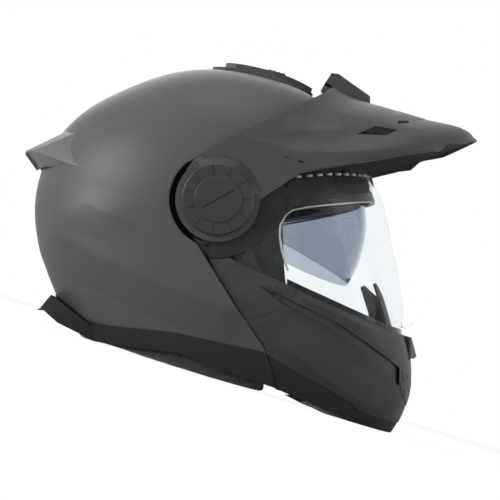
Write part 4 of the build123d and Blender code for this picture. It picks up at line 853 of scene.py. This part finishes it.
def webbing(node, points):
    """Flat webbing along a line of points in metres, its width lying along the head, its edges bevelled."""
    rings = []
    points = [Vector(point) for point in points]
    forward = Vector((1, 0, 0))
    across = forward * STRAP_WIDTH / 2
    for number, point in enumerate(points):
        ahead = (points[min(number + 1, len(points) - 1)] - points[max(number - 1, 0)]).normalized()
        face = ahead.cross(forward).normalized() * STRAP_THICKNESS / 2
        rings += [point + across * STRAP_BEVEL + face, point - across * STRAP_BEVEL + face, point - across,
                  point - across * STRAP_BEVEL - face, point + across * STRAP_BEVEL - face, point + across]
    stand_in(tube(node + "_made", rings, 6, "webbing", 50), node)


def strap_path(side):
    """The strap's run down from its rivet, round under the jaw and in towards the buckle, in metres."""
    bend = [math.radians(step * 15) for step in range(7)]
    places = [(30, 73, 88), (30, 73, 70), (30, 73, 52)]
    places += [(30, 60 + 13 * math.cos(turn), 35 - 13 * math.sin(turn)) for turn in bend]
    places += [(30, 45, 22), (30, 30, 22), (30, 16, 22)]
    return [(along * MM, side * across * MM, up * MM) for along, across, up in places]


webbing("chin_strap_right", strap_path(-1))
webbing("chin_strap_left", strap_path(1))


# Small parts that repeat or follow an edge
HELMET_CENTRE = Vector((0.02, 0, 0.14))


def socket_of(group, name):
    """The identifier of a node group's input."""
    return next(item.identifier for item in group.interface.items_tree if item.name == name)


def beads_along(name, points, spacing, length, width, height, material):
    """Geometry Nodes: small rounded blocks set along a line, each turned to follow it."""
    group = bpy.data.node_groups.new(name + "_tree", "GeometryNodeTree")
    group.interface.new_socket("Geometry", in_out="INPUT", socket_type="NodeSocketGeometry")
    for label in ("Spacing", "Length", "Width", "Height"):
        group.interface.new_socket(label, in_out="INPUT", socket_type="NodeSocketFloat")
    group.interface.new_socket("Geometry", in_out="OUTPUT", socket_type="NodeSocketGeometry")
    nodes, link = group.nodes, group.links.new
    given, result = nodes.new("NodeGroupInput"), nodes.new("NodeGroupOutput")
    to_line = nodes.new("GeometryNodeMeshToCurve")
    steps = nodes.new("GeometryNodeCurveToPoints")
    steps.mode = "LENGTH"
    block, size = nodes.new("GeometryNodeMeshCube"), nodes.new("ShaderNodeCombineXYZ")
    rounded = nodes.new("GeometryNodeSubdivisionSurface")
    rounded.inputs["Level"].default_value = 2
    rounded.inputs["Edge Crease"].default_value = 0.45
    place = nodes.new("GeometryNodeInstanceOnPoints")
    real, paint_on = nodes.new("GeometryNodeRealizeInstances"), nodes.new("GeometryNodeSetMaterial")
    paint_on.inputs["Material"].default_value = material
    link(given.outputs["Geometry"], to_line.inputs["Mesh"])
    link(to_line.outputs["Curve"], steps.inputs["Curve"])
    link(given.outputs["Spacing"], steps.inputs["Length"])
    link(given.outputs["Height"], size.inputs["X"])
    link(given.outputs["Width"], size.inputs["Y"])
    link(given.outputs["Length"], size.inputs["Z"])
    link(size.outputs["Vector"], block.inputs["Size"])
    link(block.outputs["Mesh"], rounded.inputs["Mesh"])
    link(steps.outputs["Points"], place.inputs["Points"])
    link(rounded.outputs["Mesh"], place.inputs["Instance"])
    link(steps.outputs["Rotation"], place.inputs["Rotation"])
    link(place.outputs["Instances"], real.inputs["Geometry"])
    link(real.outputs["Geometry"], paint_on.inputs["Geometry"])
    link(paint_on.outputs["Geometry"], result.inputs["Geometry"])
    made = new_object(name, points, [], [(number, number + 1) for number in range(len(points) - 1)])
    step = made.modifiers.new("beads", "NODES")
    step.node_group = group
    for label, value in (("Spacing", spacing), ("Length", length), ("Width", width), ("Height", height)):
        step[socket_of(group, label)] = value
    settle(made)
    return shade_smooth(made)


def edge_bead(name, places, radius, slot, sides=12):
    """A round bead along a line of places in metres, closed at its ends."""
    places = [Vector(place) for place in places]
    rings = []
    for number, point in enumerate(places):
        ahead = (places[min(number + 1, len(places) - 1)] - places[max(number - 1, 0)]).normalized()
        out = (point - HELMET_CENTRE).normalized()
        side = ahead.cross(out).normalized()
        out = side.cross(ahead)
        for step in range(sides):
            turn = 2 * math.pi * step / sides
            rings.append(point + (side * math.cos(turn) + out * math.sin(turn)) * radius)
    return tube(name, rings, sides, slot, 60)


def over_both(hull, points, grow, count):
    """A line of the side view laid over the form, from one side across the mid-plane to the other."""
    line = walk(soften(points, 2), count)
    near = hull.over(line, grow) * MIRROR
    far = near[::-1] * MIRROR
    return stand(np.concatenate([near, far[1:] if near[-1][1] == 0 else far]))


# Painted highlight: a pale bead laid along the eye port, standing for the shine on the black gasket's edge
highlight_line = [(60.5, -60), (55.5, -44), (53.6, -30), (54.6, -21), (60, -12), (66, -7.6), (80, -4.6),
               (104, -1), (124, 2), (137, 4.6), (152, 7)]
highlight_places = over_both(SHELL, SHELL.inside(highlight_line), -6.2, 90)
highlight_bead = edge_bead("eye_port_painted_highlight", highlight_places, 0.9 * MM, "pale_painted_highlight")
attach(highlight_bead, "shell")

# The brow teeth are clear in the real helmet; here they take the pale painted highlight for their bright marks
teeth_line = over_both(SHELL, SHELL.inside([(70, 21.5), (100, 25.5), (128, 27.5), (150, 29)]), -3.2, 60)
teeth = beads_along("brow_teeth", teeth_line, 0.0105, 0.005, 0.0022, 0.0035, FINISHES["pale_painted_highlight"].material)
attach(teeth, "shell")

seam = [(-10, -129.5), (8, -134), (26, -140.5)]
for side, side_name in ((-1, "right"), (1, "left")):
    line = SHELL.over(walk(seam, 12), -1.5) * np.array([1, side, 1])
    stitches = beads_along("neck_stitches_" + side_name, stand(line), 0.0052, 0.0034, 0.0009, 0.0009,
                           FINISHES["red_thread"].material)
    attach(stitches, "shell")

for side_name in ("right", "left"):
    plate = pieces["shield_base_plate_" + side_name]
    finish_as(plate, "trim_rubber")
